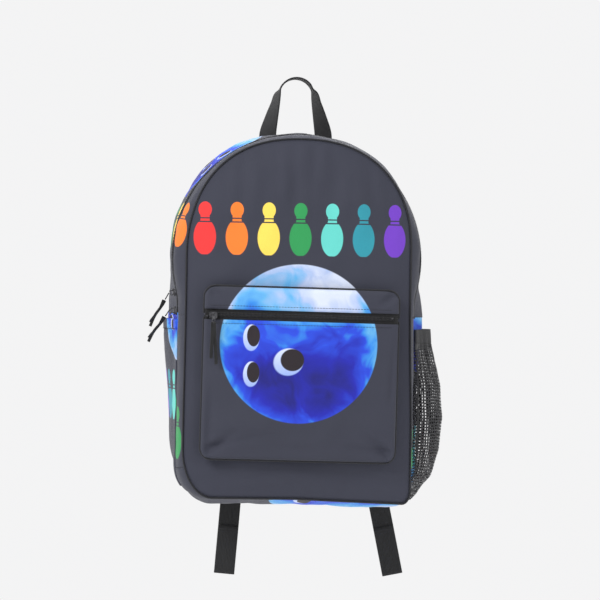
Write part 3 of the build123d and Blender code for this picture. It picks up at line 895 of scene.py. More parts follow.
def strip(name, index, ys, material, seed, uvs, coarse=(30 * MM, 1.5 * MM), fine=(11 * MM, 0.5 * MM)):
    """A gusset panel between two depths, with soft creases that fade at its seams."""
    points = shell_points(index, ys)
    fade = np.sin(np.linspace(0, math.pi, len(ys)))[None, :] ** 0.5
    bumps = ripple(points, coarse[0], seed) * coarse[1] + ripple(points, fine[0], seed + 3) * fine[1]
    obj = grid(name, points + outward3[index][:, None] * (bumps * fade)[..., None], uvs, material)
    thicken(obj, CLOTH, lining)
    return obj


edge_gap = 2.2 * MM
front_ys = np.linspace(seam_y + 0.9 * MM, zip_front_y + edge_gap, 14)
rear_ys = np.linspace(zip_back_y - edge_gap, back_y, 44)
side_ys = np.linspace(seam_y + 0.9 * MM, back_y, 56)
for name, side in (("left", -1), ("right", 1)):
    arch_part = rim_index(zip_end_z, TOP, side)
    lower_part = rim_index(base_z + corner_radius, zip_end_z + 3.5 * MM, side)
    arch_cloth = rear_cloth if side < 0 else plain_cloth
    for part, index, ys, cloth, seed, body, nodes in (
        ("front_gusset", arch_part, front_ys, arch_cloth, 2.0, FLAP, ["front_gusset"]),
        ("rear_gusset", arch_part, rear_ys, arch_cloth, 9.0, "root", ["rear_gusset"]),
        ("side_panel", lower_part, side_ys, side_cloth, 15.0, "root", ["side_panel", "main_zip_leg"]),
    ):
        panel = strip(f"{part}_{name}_cloth", index, ys, cloth, seed + side, side_uv(index, ys))
        hand_over(panel, body, "shell", *(f"{node}_{name}" for node in nodes))

from_top = np.roll(np.arange(RIM), RIM // 2)
base_index = from_top[rim[from_top, 1] < base_z + corner_radius + 2 * MM]
base_uv = crossed(np.sign(rim[base_index, 0]) * arc[base_index], side_ys)
wide_folds, small_folds = (34 * MM, 2.0 * MM), (13 * MM, 0.7 * MM)
base = strip("bottom_panel_cloth", base_index, side_ys, bottom_cloth, 5.0, base_uv, wide_folds, small_folds)
hand_over(base, "root", "shell", "bottom_panel")


def disc(name, outline, centre_z, rings, shape, material, flip=False, backing=False):
    """A panel that fills a closed outline, from rings of points.

    shape gives Y from each ring's share and its points. backing closes it with a flat face behind.
    """
    shares = np.linspace(1, 0.02, rings) ** 0.85
    middle = np.array([0, centre_z])
    flat = middle + (outline[None] - middle) * shares[:, None, None]
    points = at_depth(flat, shape(shares[:, None], flat)).transpose(1, 0, 2)
    count = len(outline)
    inner = [i * rings + rings - 1 for i in range(count)]
    faces = quads(count, rings, True, flip) + [tuple(inner if flip else inner[::-1])]
    if backing:
        faces.append(tuple(i * rings for i in reversed(range(count))))
    points = points.reshape(-1, 3)
    obj = piece(name, points, faces, points[:, (0, 2)], material)
    if backing:
        obj.data.polygons[-1].use_smooth = False
    return obj


def front_shape(share, flat):
    """The front panel's crown, with long soft folds from the arch and towards the lower corners."""
    crown = 9 * MM * (1 - share**5)
    points = at_depth(flat, 0.0)
    high = smooth_step((flat[..., 1] - turn_z) / (90 * MM))
    low = smooth_step((base_z + 90 * MM - flat[..., 1]) / (70 * MM))
    folds = ripple(points, 60 * MM, 1.0) * 3.0 * MM + ripple(points, 24 * MM, 4.0) * 0.9 * MM
    hanging = ripple(points, (15 * MM, 1.0, 70 * MM), 6.0) * 2.8 * MM * high
    lengthwise = ripple(points, (70 * MM, 1.0, 14 * MM), 9.0) * 2.8 * MM * low
    pinch = np.sin(flat[..., 0] * 2 * math.pi / (21 * MM)) * 0.5 * MM * smooth_step((share - 0.86) / 0.1)
    return seam_y - crown - (folds + hanging + lengthwise + pinch) * (1 - share**10)


front = disc("front_panel_cloth", rim, CENTRE_Z, 46, front_shape, front_cloth)
thicken(front, CLOTH, lining)
hand_over(front, FLAP, "shell", "front_panel_lower", "front_panel_upper")

rim3 = at_depth(rim, seam_y)
# Piping along the front seam: a real ridge, with its dark cloth painting the shadow in the seam's groove.
front_piping = sweep(
    "front_seam_piping",
    rim3 + outward3 * 0.8 * MM + (0, -0.6 * MM, 0),
    outward3,
    -BACK,
    oval(1.9 * MM, 2.0 * MM, 10),
    piping_painted_seam_shade,
    closed=True,
)
hand_over(front_piping, FLAP, "binding", "front_piping_lower", "front_piping_upper")

back_rim = rim + outward * back_out[:, None]


def back_shape(share, flat):
    return back_y + 3 * MM * (1 - share**4) + 0 * flat[..., 0]


back = disc("back_panel_cloth", back_rim, CENTRE_Z, 20, back_shape, lining, flip=True)
thicken(back, CLOTH, lining)
hand_over(back, "root", "lining", "back_panel")
back3 = at_depth(back_rim, back_y)
back_piping = sweep(
    "back_seam_binding",
    back3 + (0, 0.8 * MM, 0),
    outward3,
    BACK,
    oval(3.4 * MM, 3.2 * MM, 10),
    binding,
    closed=True,
)
hand_over(back_piping, "root", "binding", "back_piping")


# ---------------------------------------------------------------- main zip
def zip_side(label, index, edge, middle, body):
    """One tape and its coil along the shell, from the cloth's edge to the zip's middle."""
    path = shell_points(index, np.array([middle]))[:, 0]
    normal = outward3[index]
    toward = math.copysign(1.0, edge - middle)
    wide = abs(middle - edge) + 3 * MM
    centre = path + ((edge - middle) / 2 + toward * 1.5 * MM) * BACK - normal * 0.6 * MM
    tape = sweep(f"main_zip_{label}_tape", centre, BACK, normal, oval(wide, 0.9 * MM, 12, 5), zip_tape)
    spots, along = resampled(path, 1.7 * MM)
    up = nearest(normal, len(spots))
    across = toward * BACK
    spots = spots + across * 1.1 * MM + up * 0.5 * MM
    teeth = scatter(f"main_zip_{label}_coil", spots, across, along, up, TOOTH, zip_teeth)
    hand_over(tape, body, "zip_tape", f"main_zip_tape_{label}")
    hand_over(teeth, body, "zip_coil", f"main_zip_coil_{label}")


full_arch = np.r_[rim_index(zip_end_z, TOP, -1)[::-1], rim_index(zip_end_z, TOP, 1)[1:]]
zip_gap = 0.1 * MM
zip_halves = (("front", zip_front_y, -1, FLAP), ("rear", zip_back_y, 1, "root"))
for label, edge, way, body in zip_halves:
    zip_side(label, full_arch, edge, zip_y + way * zip_gap, body)
for label, edge, way, body in zip_halves:
    path = shell_points(full_arch, np.array([edge + way * 1.2 * MM]))[:, 0]
    stitch_row(f"main_zip_{label}_stitches", path, outward3[full_arch], body)


# ---------------------------------------------------------------- front pocket
p_lo, p_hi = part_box("pocket_gusset")
pf_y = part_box("pocket_front_panel")[0].y
tape_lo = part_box("pocket_zip_tape_lower")[0].z
tape_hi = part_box("pocket_zip_tape_upper")[1].z
lean = math.radians(0.8)
pocket_middle = np.array([0, (p_lo.z + p_hi.z) / 2])


def leant(flat):
    """The pocket hangs a touch askew."""
    moved = flat - pocket_middle
    c, s = math.cos(-lean), math.sin(-lean)
    turned = np.stack([moved[..., 0] * c - moved[..., 1] * s, moved[..., 0] * s + moved[..., 1] * c], -1)
    return pocket_middle + turned + np.array([1.5 * MM, 0])


def crease(x, z, start, way, width, length, depth):
    """A soft pulled crease from a point along a direction."""
    way = np.array(way) / np.linalg.norm(way)
    along = (x - start[0]) * way[0] + (z - start[1]) * way[1]
    off = (x - start[0]) * way[1] - (z - start[1]) * way[0]
    reach_in = smooth_step(along / (0.2 * length))
    reach_in = reach_in * (1 - smooth_step((along - 0.3 * length) / (0.7 * length)))
    return depth * np.exp(-((off / width) ** 2)) * reach_in


def pocket_y(x, z):
    """The pocket face's depth: crowned, with creases pulled in from its corners and seams."""
    half, low, high = p_hi.x, p_lo.z, p_hi.z
    a = np.clip(np.abs(x) / half, 0, 1)
    b = np.clip(np.abs(z - pocket_middle[1]) / (high - pocket_middle[1]), 0, 1)
    crown = 5 * MM * (1 - a**2.6) * (1 - b**2.6)
    points = np.stack([x, np.zeros_like(x), z], -1)
    edge = (1 - a**8) * (1 - b**8)
    folds = ripple(points, 55 * MM, 2.0) * 3.4 * MM + ripple(points, 20 * MM, 6.0) * 0.9 * MM
    near_base = smooth_step((low + 60 * MM - z) / (45 * MM))
    folds = folds + ripple(points, (60 * MM, 1.0, 13 * MM), 12.0) * 2.4 * MM * near_base
    dents = 0.0
    for side, inset, height, way, width, length, depth in (
        (-1, 2, low + 4 * MM, (1, 0.75), 5, 60, 4.5),
        (1, 2, low + 4 * MM, (-1, 0.85), 5, 55, 4.5),
        (-1, 0, low + 14 * MM, (1, 0.18), 4, 80, 3),
        (1, 0, low + 12 * MM, (-1, 0.1), 4, 90, 3),
        (1, 1, high - 2 * MM, (-1, -0.7), 4, 34, 3.5),
        (-1, 1, high - 2 * MM, (1, -0.8), 4, 28, 3),
        (1, 8, low + 60 * MM, (0.05, 1), 3.5, 120, 2.2),
        (-1, 9, low + 10 * MM, (0.03, 1), 3.5, 90, 2.2),
    ):
        start = (side * (half - inset * MM), height)
        dents = dents + crease(x, z, start, way, width * MM, length * MM, depth * MM)
    return pf_y - crown - folds * edge + dents


def on_pocket(x, z, behind):
    """Points on the pocket's face, or behind it."""
    return at_depth(leant(np.stack([x, z], -1)), pocket_y(x, z) + behind)


def pocket_panel(label, low, high, body):
    """A panel of the pocket's face between two heights, wrapped round its side edges."""
    half = p_hi.x
    side = 4.5 * MM
    inner = half - side
    middle = np.linspace(-inner, inner, 90)[1:-1]
    xs = np.r_[np.linspace(-half, -inner, 6), middle, np.linspace(inner, half, 6)]
    zs = np.linspace(low, high, max(6, int((high - low) / (2.6 * MM))))
    x, z = np.meshgrid(xs, zs, indexing="ij")
    corner = 13 * MM
    reach_z = np.where(z > pocket_middle[1], p_hi.z - z, z - p_lo.z)
    pull = np.where(reach_z < corner, corner - np.sqrt(np.maximum(corner**2 - (corner - reach_z) ** 2, 0)), 0)
    x = x * (half - pull) / half
    y = pocket_y(x, z)
    rounding = np.clip(1 - (half - pull - np.abs(x)) / side, 0, 1)
    y = y + side * (1 - np.sqrt(np.maximum(1 - rounding**2, 0)))
    for edge_z in (p_lo.z, p_hi.z):
        near = np.clip(1 - np.abs(z - edge_z) / side, 0, 1)
        y = y + side * (1 - np.sqrt(np.maximum(1 - near**2, 0)))
    flat = leant(np.stack([x, z], -1))
    obj = grid(f"pocket_{label}_cloth", at_depth(flat, y), flat, pocket_cloth)
    thicken(obj, 1.3 * MM, lining, "hung")
    hand_over(obj, body, "shell", f"pocket_{label}_panel")


cover = 2.0 * MM
pocket_panel("top", tape_hi - cover, p_hi.z, "root")
pocket_panel("front", p_lo.z, tape_lo + cover, "pocket_front")


def pocket_rim(low, high, count=260):
    """The pocket's outline between two heights, as one open path."""
    corner, half = 13 * MM, p_hi.x
    right = [
        (0, p_hi.z),
        *arc_points(half - corner, p_hi.z - corner, corner, math.pi / 2, 0, 14),
        *arc_points(half - corner, p_lo.z + corner, corner, 0, -math.pi / 2, 14),
        (0, p_lo.z),
    ]
    right = np.array(right)
    loop = np.vstack([right, right[::-1][1:] * (-1, 1)])
    loop = closed_resample(loop, count)[:-1]
    keep = (loop[:, 1] >= low) & (loop[:, 1] <= high)
    if high > p_hi.z - MM:
        loop, keep = np.roll(loop, count // 2, 0), np.roll(keep, count // 2)
    return loop[keep]


def pocket_wall(name, low, high, body):
    """The pocket's side band from the bag to its face."""
    path = pocket_rim(low, high)
    ys = np.linspace(seam_y + 2 * MM, pf_y + 4.0 * MM, 9)
    bow = 1.6 * MM * np.sin(math.pi * (ys - seam_y) / (pf_y - seam_y))
    direction = path - pocket_middle
    direction = direction / np.linalg.norm(direction, axis=1)[:, None]
    flat = leant(path[:, None] - direction[:, None] * (0.4 * MM + bow)[:, None])
    points = at_depth(flat, ys)
    obj = grid(name, points, crossed(run_length(path), ys), plain_cloth, flip=True)
    thicken(obj, 1.2 * MM, lining, "stretched", Vector((0, seam_y, pocket_middle[1])))
    hand_over(obj, body, "shell", "pocket_gusset")


def pocket_seam(name, body, low, high):
    """The seam that turns the pocket's face into its side band, in dark cloth that paints the crease shadow
    along the pocket's edge.
    """
    spine = at_depth(leant(pocket_rim(low, high, 400)), pf_y + 3.6 * MM)
    way = tangents(spine)
    tube = sweep(name, spine, np.cross(way, BACK), BACK, oval(2.2 * MM, 2.0 * MM, 10), piping_painted_seam_shade)
    return hand_over(tube, body, "binding")


pocket_seam("pocket_seam_lower", "pocket_front", p_lo.z - MM, pocket_zip_z - MM)
pocket_seam("pocket_seam_upper", "root", pocket_zip_z + MM, p_hi.z + MM)
opening = ("root", "pocket_front", (0, seam_y + 2 * MM, p_lo.z), (0, pf_y + 3 * MM, p_lo.z))
pocket_wall("pocket_wall_lower", p_lo.z - MM, pocket_zip_z - 2 * MM, opening)
pocket_wall("pocket_wall_upper", pocket_zip_z - 2 * MM, p_hi.z + MM, "root")

for label, side, body, low, high in (
    ("upper", 1, "root", pocket_zip_z, tape_hi + cover),
    ("lower", -1, "pocket_front", tape_lo - cover, pocket_zip_z),
):
    xs = np.linspace(-p_hi.x + MM, p_hi.x - MM, 120)
    zs = np.linspace(low + 0.1 * MM, high - 0.1 * MM, 5)
    x, z = np.meshgrid(xs, zs, indexing="ij")
    uvs = np.stack([x, z], -1)
    tape = grid(f"pocket_zip_tape_{label}_weave", on_pocket(x, z, 1.7 * MM), uvs, zip_tape)
    thicken(tape, 0.8 * MM)
    hand_over(tape, body, "zip_tape", f"pocket_zip_tape_{label}")
    xs = np.arange(-p_hi.x + 6 * MM, p_hi.x - 6 * MM, 1.6 * MM)
    z = np.full(len(xs), pocket_zip_z + side * 1.15 * MM)
    spots = on_pocket(xs, z, 1.1 * MM)
    teeth = scatter(f"pocket_zip_coil_{label}_teeth", spots, UP, RIGHT, -BACK, POCKET_TOOTH, zip_teeth)
    hand_over(teeth, body, "zip_coil", f"pocket_zip_coil_{label}")
    edge = (high - 2 * cover if side > 0 else low + 2 * cover) + side * (cover + 2.2 * MM)
    xs = np.linspace(-p_hi.x + 7 * MM, p_hi.x - 7 * MM, 160)
    z = np.full(len(xs), edge)
    stitch_row(f"pocket_zip_{label}_stitches", on_pocket(xs, z, 0), -BACK, body)


# ---------------------------------------------------------------- side pockets
def pouch(name, index, ys, stand, material, thickness, seed, rough=0.6 * MM, inner=None):
    """A sheet over the shell's side; stand(t, s) gives how far it stands out, t up and s across."""
    z = rim[index, 1]
    t = (z - z.min()) / (z.max() - z.min())
    s = (ys - ys[0]) / (ys[-1] - ys[0])
    points = shell_points(index, ys, stand(t[:, None], s[None, :]))
    fade = np.sin(np.clip(s, 0, 1) * math.pi)[None, :] ** 0.4
    bumps = ripple(points, 26 * MM, seed) * rough + ripple(points, 9 * MM, seed) * rough * 0.4
    points = points + outward3[index][:, None] * (bumps * fade)[..., None]
    obj = grid(name, points, side_uv(index, ys), material)
    thicken(obj, thickness, inner, "gathered")
    return obj


sp_lo, sp_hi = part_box("side_pocket")
hem_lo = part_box("side_pocket_hem")[0].z
pocket_ys = np.linspace(sp_lo.y, sp_hi.y, 46)


def side_stand(t, s):
    """The printed pocket hugs the bag and stands off it at its mouth."""
    bow = np.sin(s * math.pi) ** 0.6
    return 0.8 * MM + bow * (0.6 * MM + 3.6 * MM * t**1.5) + bow * np.sin(s * 31) * 0.5 * MM * t**3


def hem_stand(t, s):
    """The hem lies folded over the pocket's mouth."""
    return side_stand(0.83 + 0.17 * t, s) + 1.2 * MM


pouch_index = rim_index(sp_lo.z, sp_hi.z - 2 * MM, -1)
side_pouch = pouch(
    "side_pocket_cloth", pouch_index, pocket_ys, side_stand, side_pocket_cloth, 1.3 * MM, 21.0, inner=lining
)
hand_over(side_pouch, "root", "shell", "side_pocket")
hem_index = rim_index(hem_lo, sp_hi.z + MM, -1)
hem = pouch(
    "side_pocket_hem_cloth", hem_index, pocket_ys, hem_stand, side_pocket_cloth, 2.6 * MM, 21.0, 0.3 * MM
)
hand_over(hem, "root", "shell", "side_pocket_hem")
hem_foot = rim_index(hem_lo + 1.5 * MM, hem_lo + 6 * MM, -1)[-1:]
hem_share = (pocket_ys - pocket_ys[0]) / np.ptp(pocket_ys)
hem_line = shell_points(hem_foot, pocket_ys, hem_stand(0.1, hem_share)[None, :])[0]
hem_up = outward3[hem_foot[0]]
stitch_row("side_pocket_hem_stitches", hem_line + hem_up * 0.2 * MM, hem_up, "root")

mp_lo, mp_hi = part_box("mesh_pocket")
elastic_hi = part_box("mesh_pocket_elastic")[1].z
belly = mp_hi.x - 148 * MM
mesh_ys = np.linspace(mp_lo.y, mp_hi.y, 64)


def mesh_stand(t, s):
    """The mesh bellies out below its elastic and comes in at its foot."""
    side = np.sin(s * math.pi) ** 0.55
    swell = np.interp(t, (0, 0.12, 0.3, 0.5, 0.72, 0.88, 1), (0.1, 0.62, 0.94, 1.04, 0.93, 0.62, 0.38))
    pleat = np.sin(s * 2 * math.pi * 11 + np.sin(s * 9) * 2) * (0.9 * MM * t**4 + 0.5 * MM * (1 - t) ** 6)
    return 1.2 * MM + side * (belly * swell + pleat)


def elastic_stand(t, s):
    """The elastic grips the mouth, held off the bag by the mesh."""
    side = np.sin(s * math.pi) ** 0.55
    pleat = np.sin(s * 2 * math.pi * 11 + np.sin(s * 9) * 2) * 0.7 * MM * (1 - t)
    return 2.0 * MM + side * (belly * (0.36 - 0.08 * t) + pleat)


mesh_index = rim_index(mp_lo.z - 9 * MM, mp_hi.z + 3 * MM, 1)
mesh_index = mesh_index[across_x[mesh_index] > 0.4]
mesh_pouch = pouch(
    "mesh_pocket_net", mesh_index, mesh_ys, mesh_stand, pocket_mesh, 0.7 * MM, 31.0, 0.8 * MM
)
hand_over(mesh_pouch, "root", "mesh", "mesh_pocket")
band_index = rim_index(mp_hi.z - 7 * MM, mp_hi.z + 5 * MM, 1)
band = pouch(
    "mesh_pocket_grey_band",
    band_index,
    mesh_ys,
    lambda t, s: elastic_stand(0.3 * t, s),
    elastic_grey,
    2.0 * MM,
    31.0,
    0.2 * MM,
)
hand_over(band, "root", "elastic")
elastic_index = rim_index(mp_hi.z + 1 * MM, elastic_hi - 1 * MM, 1)
elastic = pouch(
    "mesh_pocket_elastic_band", elastic_index, mesh_ys, elastic_stand, elastic_weave, 2.4 * MM, 31.0, 0.2 * MM
)
hand_over(elastic, "root", "elastic", "mesh_pocket_elastic")


# ---------------------------------------------------------------- grab loop
loop_lo, loop_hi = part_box("grab_loop")
loop_wide = loop_hi.y - loop_lo.y
bend = 21 * MM
foot_x = loop_hi.x - 0.5 * MM
foot_z = loop_lo.z
rise = [
    (-foot_x - MM, foot_z - 2 * MM, 50),
    (-foot_x - MM, foot_z + 8 * MM, 48),
    (-foot_x + 3 * MM, -48 * MM, 34),
    (-foot_x + 7.5 * MM, -30 * MM, 20),
    (-bend - 0.5 * MM, -16 * MM, 8),
]
top_turns = np.radians((160, 140, 115, 90, 65, 40, 20))
over = [(bend * math.cos(a), -bend + MM + bend * math.sin(a), 0) for a in top_turns]
loop_knots = np.array(rise + over + [(-x, z, -turn) for x, z, turn in reversed(rise)])


def smooth_through(knots, count):
    """A smooth run of points through knots."""
    run = run_length(knots[:, :2])
    slopes = np.gradient(knots, run, axis=0)
    at = np.linspace(0, run[-1], count)
    k = np.clip(np.searchsorted(run, at, side="right") - 1, 0, len(run) - 2)
    span = (run[k + 1] - run[k])[:, None]
    t = (at - run[k])[:, None] / span
    return hermite(t, knots[k], knots[k + 1], slopes[k] * span, slopes[k + 1] * span)


loop = smooth_through(loop_knots, 110)
loop_path = at_depth(loop[:, :2] + (4 * MM, 0), 0.0)
loop_tangent = tangents(loop_path)
turn = np.radians(loop[:, 2])[:, None]
flat_way = np.cross(loop_tangent, BACK)
loop_across = np.cos(turn) * BACK + np.sin(turn) * flat_way
loop_up = np.cross(loop_tangent, loop_across)
loop_section = strap_section(loop_wide, 2 * MM)
grab = sweep("grab_loop_webbing", loop_path, loop_across, loop_up, loop_section, black_webbing)
hand_over(grab, "root", "webbing", "grab_loop")


# ---------------------------------------------------------------- back: pad and yoke
def pillow(name, outline, centre, front_y, thick, material, dents, slot, node, rings=34):
    """A stuffed panel on the back: flat towards the bag, full outside, with quilted lines."""

    def shape(share, flat):
        edge = np.maximum(1 - share**9, 0) ** 0.5
        return front_y + thick * edge - dents(flat) * edge

    obj = disc(name, outline, centre, rings, shape, material, flip=True, backing=True)
    face_out(obj, Vector((0, front_y + thick / 2, centre)))
    hand_over(obj, "root", slot, node)


def groove(distance, width, depth):
    """A stitched groove's depth from the distance to its line."""
    return depth * np.exp(-((distance / width) ** 2))


pad_lo, pad_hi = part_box("back_pad")
pad_rim = cad_outline(420)[:-1]
pad_rim = pad_rim * (np.array([pad_hi.x / leg_half, 1]))
pad_rim[:, 1] = np.clip(pad_rim[:, 1], pad_lo.z, pad_hi.z)
arch_room = np.sqrt(np.maximum((arch_radius - 16 * MM) ** 2 - (pad_rim[:, 1] - arch_z) ** 2, 0))
arch_room = arch_room + 60 * MM * (pad_rim[:, 1] < arch_z)
pad_rim[:, 0] = np.clip(pad_rim[:, 0], -arch_room, arch_room)
pad_rim = closed_resample(np.vstack([pad_rim, pad_rim[:1]]), 361)[:-1]


def pad_dents(flat):
    """Channels for the wearer's spine and ribs."""
    x, z = flat[..., 0], flat[..., 1]
    spine = groove(np.abs(x) - 20 * MM, 3.5 * MM, 5 * MM)
    ribs = 0
    for z_line in (-225 * MM, -300 * MM, -365 * MM):
        slant = z - z_line - (np.abs(x) - 20 * MM) * 0.35
        ribs = np.maximum(ribs, groove(slant, 3.5 * MM, 5 * MM) * (np.abs(x) > 20 * MM))
    return np.maximum(spine, ribs)


pillow(
    "back_pad_air_mesh",
    pad_rim,
    CENTRE_Z,
    pad_lo.y,
    pad_hi.y - pad_lo.y,
    air_mesh,
    pad_dents,
    "air_mesh",
    "back_pad",
    rings=60,
)
pad3 = at_depth(pad_rim, pad_lo.y + 1.6 * MM)
pad_way = tangents(pad3, closed=True)
pad_across = np.cross(pad_way, BACK)
pad_section = oval(5 * MM, 3 * MM, 10)
pad_binding = sweep("back_pad_binding", pad3, pad_across, BACK, pad_section, binding, closed=True)
hand_over(pad_binding, "root", "binding")

yoke_lo, yoke_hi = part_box("yoke_panel")
turns = np.arange(160) * 2 * math.pi / 160
yoke_middle = (yoke_lo.z + yoke_hi.z) / 2
yoke_x = signed_power(np.cos(turns), 2 / 7) * yoke_hi.x
yoke_z = yoke_middle + signed_power(np.sin(turns), 2 / 5) * (yoke_hi.z - yoke_lo.z) / 2
yoke_z = yoke_z - 4 * MM * (yoke_x / yoke_hi.x) ** 2 + 2 * MM


def yoke_dents(flat):
    """A line of sewing round each strap's foot."""
    return groove(np.abs(np.abs(flat[..., 0]) - 46 * MM) - 26 * MM, 2 * MM, 2 * MM)


pillow(
    "yoke_panel_cloth",
    np.stack([yoke_x, yoke_z], -1),
    yoke_middle,
    yoke_lo.y,
    yoke_hi.y - yoke_lo.y,
    plain_cloth,
    yoke_dents,
    "shell",
    "yoke_panel",
)


# ---------------------------------------------------------------- shoulder straps
WEBBING = strap_section(25 * MM, 1.8 * MM)
for name, side in (("left", -1), ("right", 1)):
    body = f"strap_{name}"
    s_lo, s_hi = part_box(f"shoulder_strap_{name}")
    l_lo, l_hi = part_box(f"ladder_lock_{name}")
    lock_x = (l_lo.x + l_hi.x) / 2
    lock_z = (l_lo.z + l_hi.z) / 2
    lock_y = (l_lo.y + l_hi.y) / 2
    top_x = side * 46 * MM
    middle_x = (top_x + lock_x) / 2 + side * 14 * MM
    strap_y = (s_lo.y + s_hi.y) / 2
    thick = s_hi.y - s_lo.y
    t = np.linspace(0, 1, 80)
    z = s_hi.z + (s_lo.z - s_hi.z) * t
    x = top_x * (1 - t) * (1 - 2 * t) + middle_x * 4 * t * (1 - t) + lock_x * t * (2 * t - 1)
    wide = 60 * MM - 30 * MM * np.clip(t, 0, 1) ** 2.2
    depth = thick * (1 - 0.35 * smooth_step((t - 0.9) / 0.1))
    turns = np.arange(48) * 2 * math.pi / 48
    ring_x = signed_power(np.cos(turns), 0.55) / 2
    ring_y = signed_power(np.sin(turns), 0.75) / 2
    dip = 0.16 * np.exp(-(((np.abs(ring_x) - 0.36) / 0.03) ** 2)) * np.sign(ring_y)
    points = np.stack(
        [
            x[:, None] + ring_x[None] * wide[:, None],
            strap_y + (ring_y - dip)[None] * depth[:, None],
            np.broadcast_to(z[:, None], (80, 48)),
        ],
        -1,
    )
    points = points.reshape(-1, 3)
    strap_name = f"shoulder_strap_{name}"
    strap = piece(f"{strap_name}_pad", points, tube_faces(80, 48), points[:, (0, 2)], plain_cloth)
    strap.data.materials.append(air_mesh)
    face_out(strap, Vector((x[40], strap_y, z[40])))
    for p in strap.data.polygons:
        p.material_index = 1 if p.center.y < strap_y else 0
    hand_over(strap, body, "padding", strap_name)
    for place, edge in (("inner", -1), ("outer", 1)):
        path = np.stack([x + edge * wide * 0.5, np.full(80, strap_y), z], -1)
        way = tangents(path)
        tube = sweep(
            f"{strap_name}_binding_{place}",
            path,
            BACK,
            np.cross(way, BACK),
            oval(7 * MM, 2.6 * MM, 12, 3),
            binding,
        )
        hand_over(tube, body, "binding")
        line = np.stack([x + edge * wide * 0.36, np.full(80, strap_y + thick * 0.36), z], -1)
        stitch_row(f"{strap_name}_stitches_{place}", line[2:-2], BACK, body)

    # Webbing sewn down the strap's face to the ladder lock, and the tail that hangs from it
    web = np.array(
        [
            (x[56], s_hi.y - 0.6 * MM, z[56]),
            (x[62], s_hi.y + 0.2 * MM, z[62]),
            (x[72], s_hi.y + 0.4 * MM, z[72]),
            (lock_x, s_hi.y - 1.6 * MM, s_lo.z - 2 * MM),
            (lock_x, lock_y + 1.6 * MM, l_hi.z - 0.5 * MM),
        ]
    )
    way = tangents(web)
    up = np.cross(way, RIGHT)
    lock_web = sweep(f"lock_webbing_{name}_ribbed", web, RIGHT, up, WEBBING, black_webbing)
    hand_over(lock_web, body, "webbing", f"lock_webbing_{name}")

    t_lo, t_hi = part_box(f"strap_tail_{name}")
    end_x = t_lo.x + 12.5 * MM if side < 0 else t_hi.x - 12.5 * MM
    run = np.linspace(0, 1, 60)
    tail_x = lock_x + (end_x - lock_x) * run
    tail_z = lock_z - 1 * MM + (t_lo.z - lock_z) * run
    tail_y = t_lo.y + 0.9 * MM + 0.8 * MM * np.sin(run * 7)
    path = np.stack([tail_x, tail_y, tail_z], -1)
    way = tangents(path)
    sway = np.stack([np.cos(0.12 * np.sin(run * 5)), np.sin(0.12 * np.sin(run * 5)), np.zeros(60)], -1)
    sway = sway - way * (sway * way).sum(1)[:, None]
    sway /= np.linalg.norm(sway, axis=1)[:, None]
    up = np.cross(way, sway)
    tail = sweep(f"strap_tail_{name}_ribbed", path, sway, up, WEBBING, black_webbing)
    hand_over(tail, body, "webbing", f"strap_tail_{name}")
    fold = slice(42, 60)
    doubled = sweep(
        f"strap_tail_{name}_turned_end",
        path[fold] + up[fold] * 1.7 * MM,
        sway[fold],
        up[fold],
        strap_section(24.6 * MM, 1.6 * MM),
        black_webbing,
    )
    hand_over(doubled, body, "webbing")
    for place in (43, 44):
        spread = np.linspace(-1, 1, 12)[:, None] * 11 * MM
        bar = path[place] + sway[place] * spread + up[place] * 2.6 * MM
        stitch_row(f"strap_tail_{name}_bar_{place}", bar, BACK, body, pitch=2.6 * MM)

    # Ladder lock: two side rails and four rounded bars
    rails = []
    for edge in (-1, 1):
        px = lock_x + edge * (l_hi.x - l_lo.x - 4 * MM) / 2
        path = np.array([(px, lock_y, l_hi.z - MM), (px, lock_y, lock_z), (px, lock_y, l_lo.z + MM)])
        rails.append(sweep("rail", path, RIGHT, BACK, oval(4.4 * MM, 4 * MM, 16, 3), buckle))
    for z_bar in (l_hi.z - 2 * MM, lock_z + 3.6 * MM, lock_z - 3.6 * MM, l_lo.z + 2 * MM):
        path = np.array([(l_lo.x + MM, lock_y, z_bar), (lock_x, lock_y, z_bar), (l_hi.x - MM, lock_y, z_bar)])
        rails.append(sweep("bar", path, BACK, UP, oval(3.6 * MM, 3.6 * MM, 14, 2.6), buckle))
    lock = joined(f"ladder_lock_{name}_moulded", rails, buckle)
    hand_over(lock, body, "buckle", f"ladder_lock_{name}")

    # Lower webbing from its anchor at the base to the lock
    a_lo, a_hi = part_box(f"webbing_anchor_{name}")
    foot = np.array([side * 112 * MM, a_hi.y + 1.4 * MM, (a_lo.z + a_hi.z) / 2 - 13 * MM])
    head = np.array([lock_x, l_lo.y - 1.2 * MM, lock_z - 2 * MM])
    run = np.linspace(0, 1, 24)[:, None]
    path = foot + (head - foot) * run + BACK * np.sin(run * math.pi) * 1.2 * MM
    way = tangents(path)
    across = np.cross(BACK, way)
    across /= np.linalg.norm(across, axis=1)[:, None]
    up = np.cross(way, across)
    lower_web = sweep(f"lower_webbing_{name}_ribbed", path, across, up, WEBBING, black_webbing)
    hand_over(lower_web, ("root", body, tuple(foot), tuple(head)), "webbing", f"lower_webbing_{name}")

    # Anchor: a triangle of doubled cloth sewn into the base seam
    corners = np.array([(95, -482), (129, -476), (124, -444), (104, -452)]) * (side, 1) * MM
    anchor_middle = corners.mean(0)
    rows = []
    for share in np.linspace(1, 0.05, 8):
        ring = anchor_middle + (corners - anchor_middle) * share
        ring = closed_resample(np.vstack([ring, ring[:1]]), 33)[:-1]
        height = a_lo.y + 0.4 * MM + (a_hi.y - a_lo.y + 0.4 * MM) * (1 - share**6) ** 0.5
        rows.append(at_depth(ring, height))
    points = np.stack(rows, 1)
    anchor_name = f"webbing_anchor_{name}"
    anchor = grid(f"{anchor_name}_cloth", points, points[..., (0, 2)], plain_cloth, closed=True)
    face_out(anchor, Vector((0, -0.5, -0.3)))
    hand_over(anchor, "root", "shell", anchor_name)


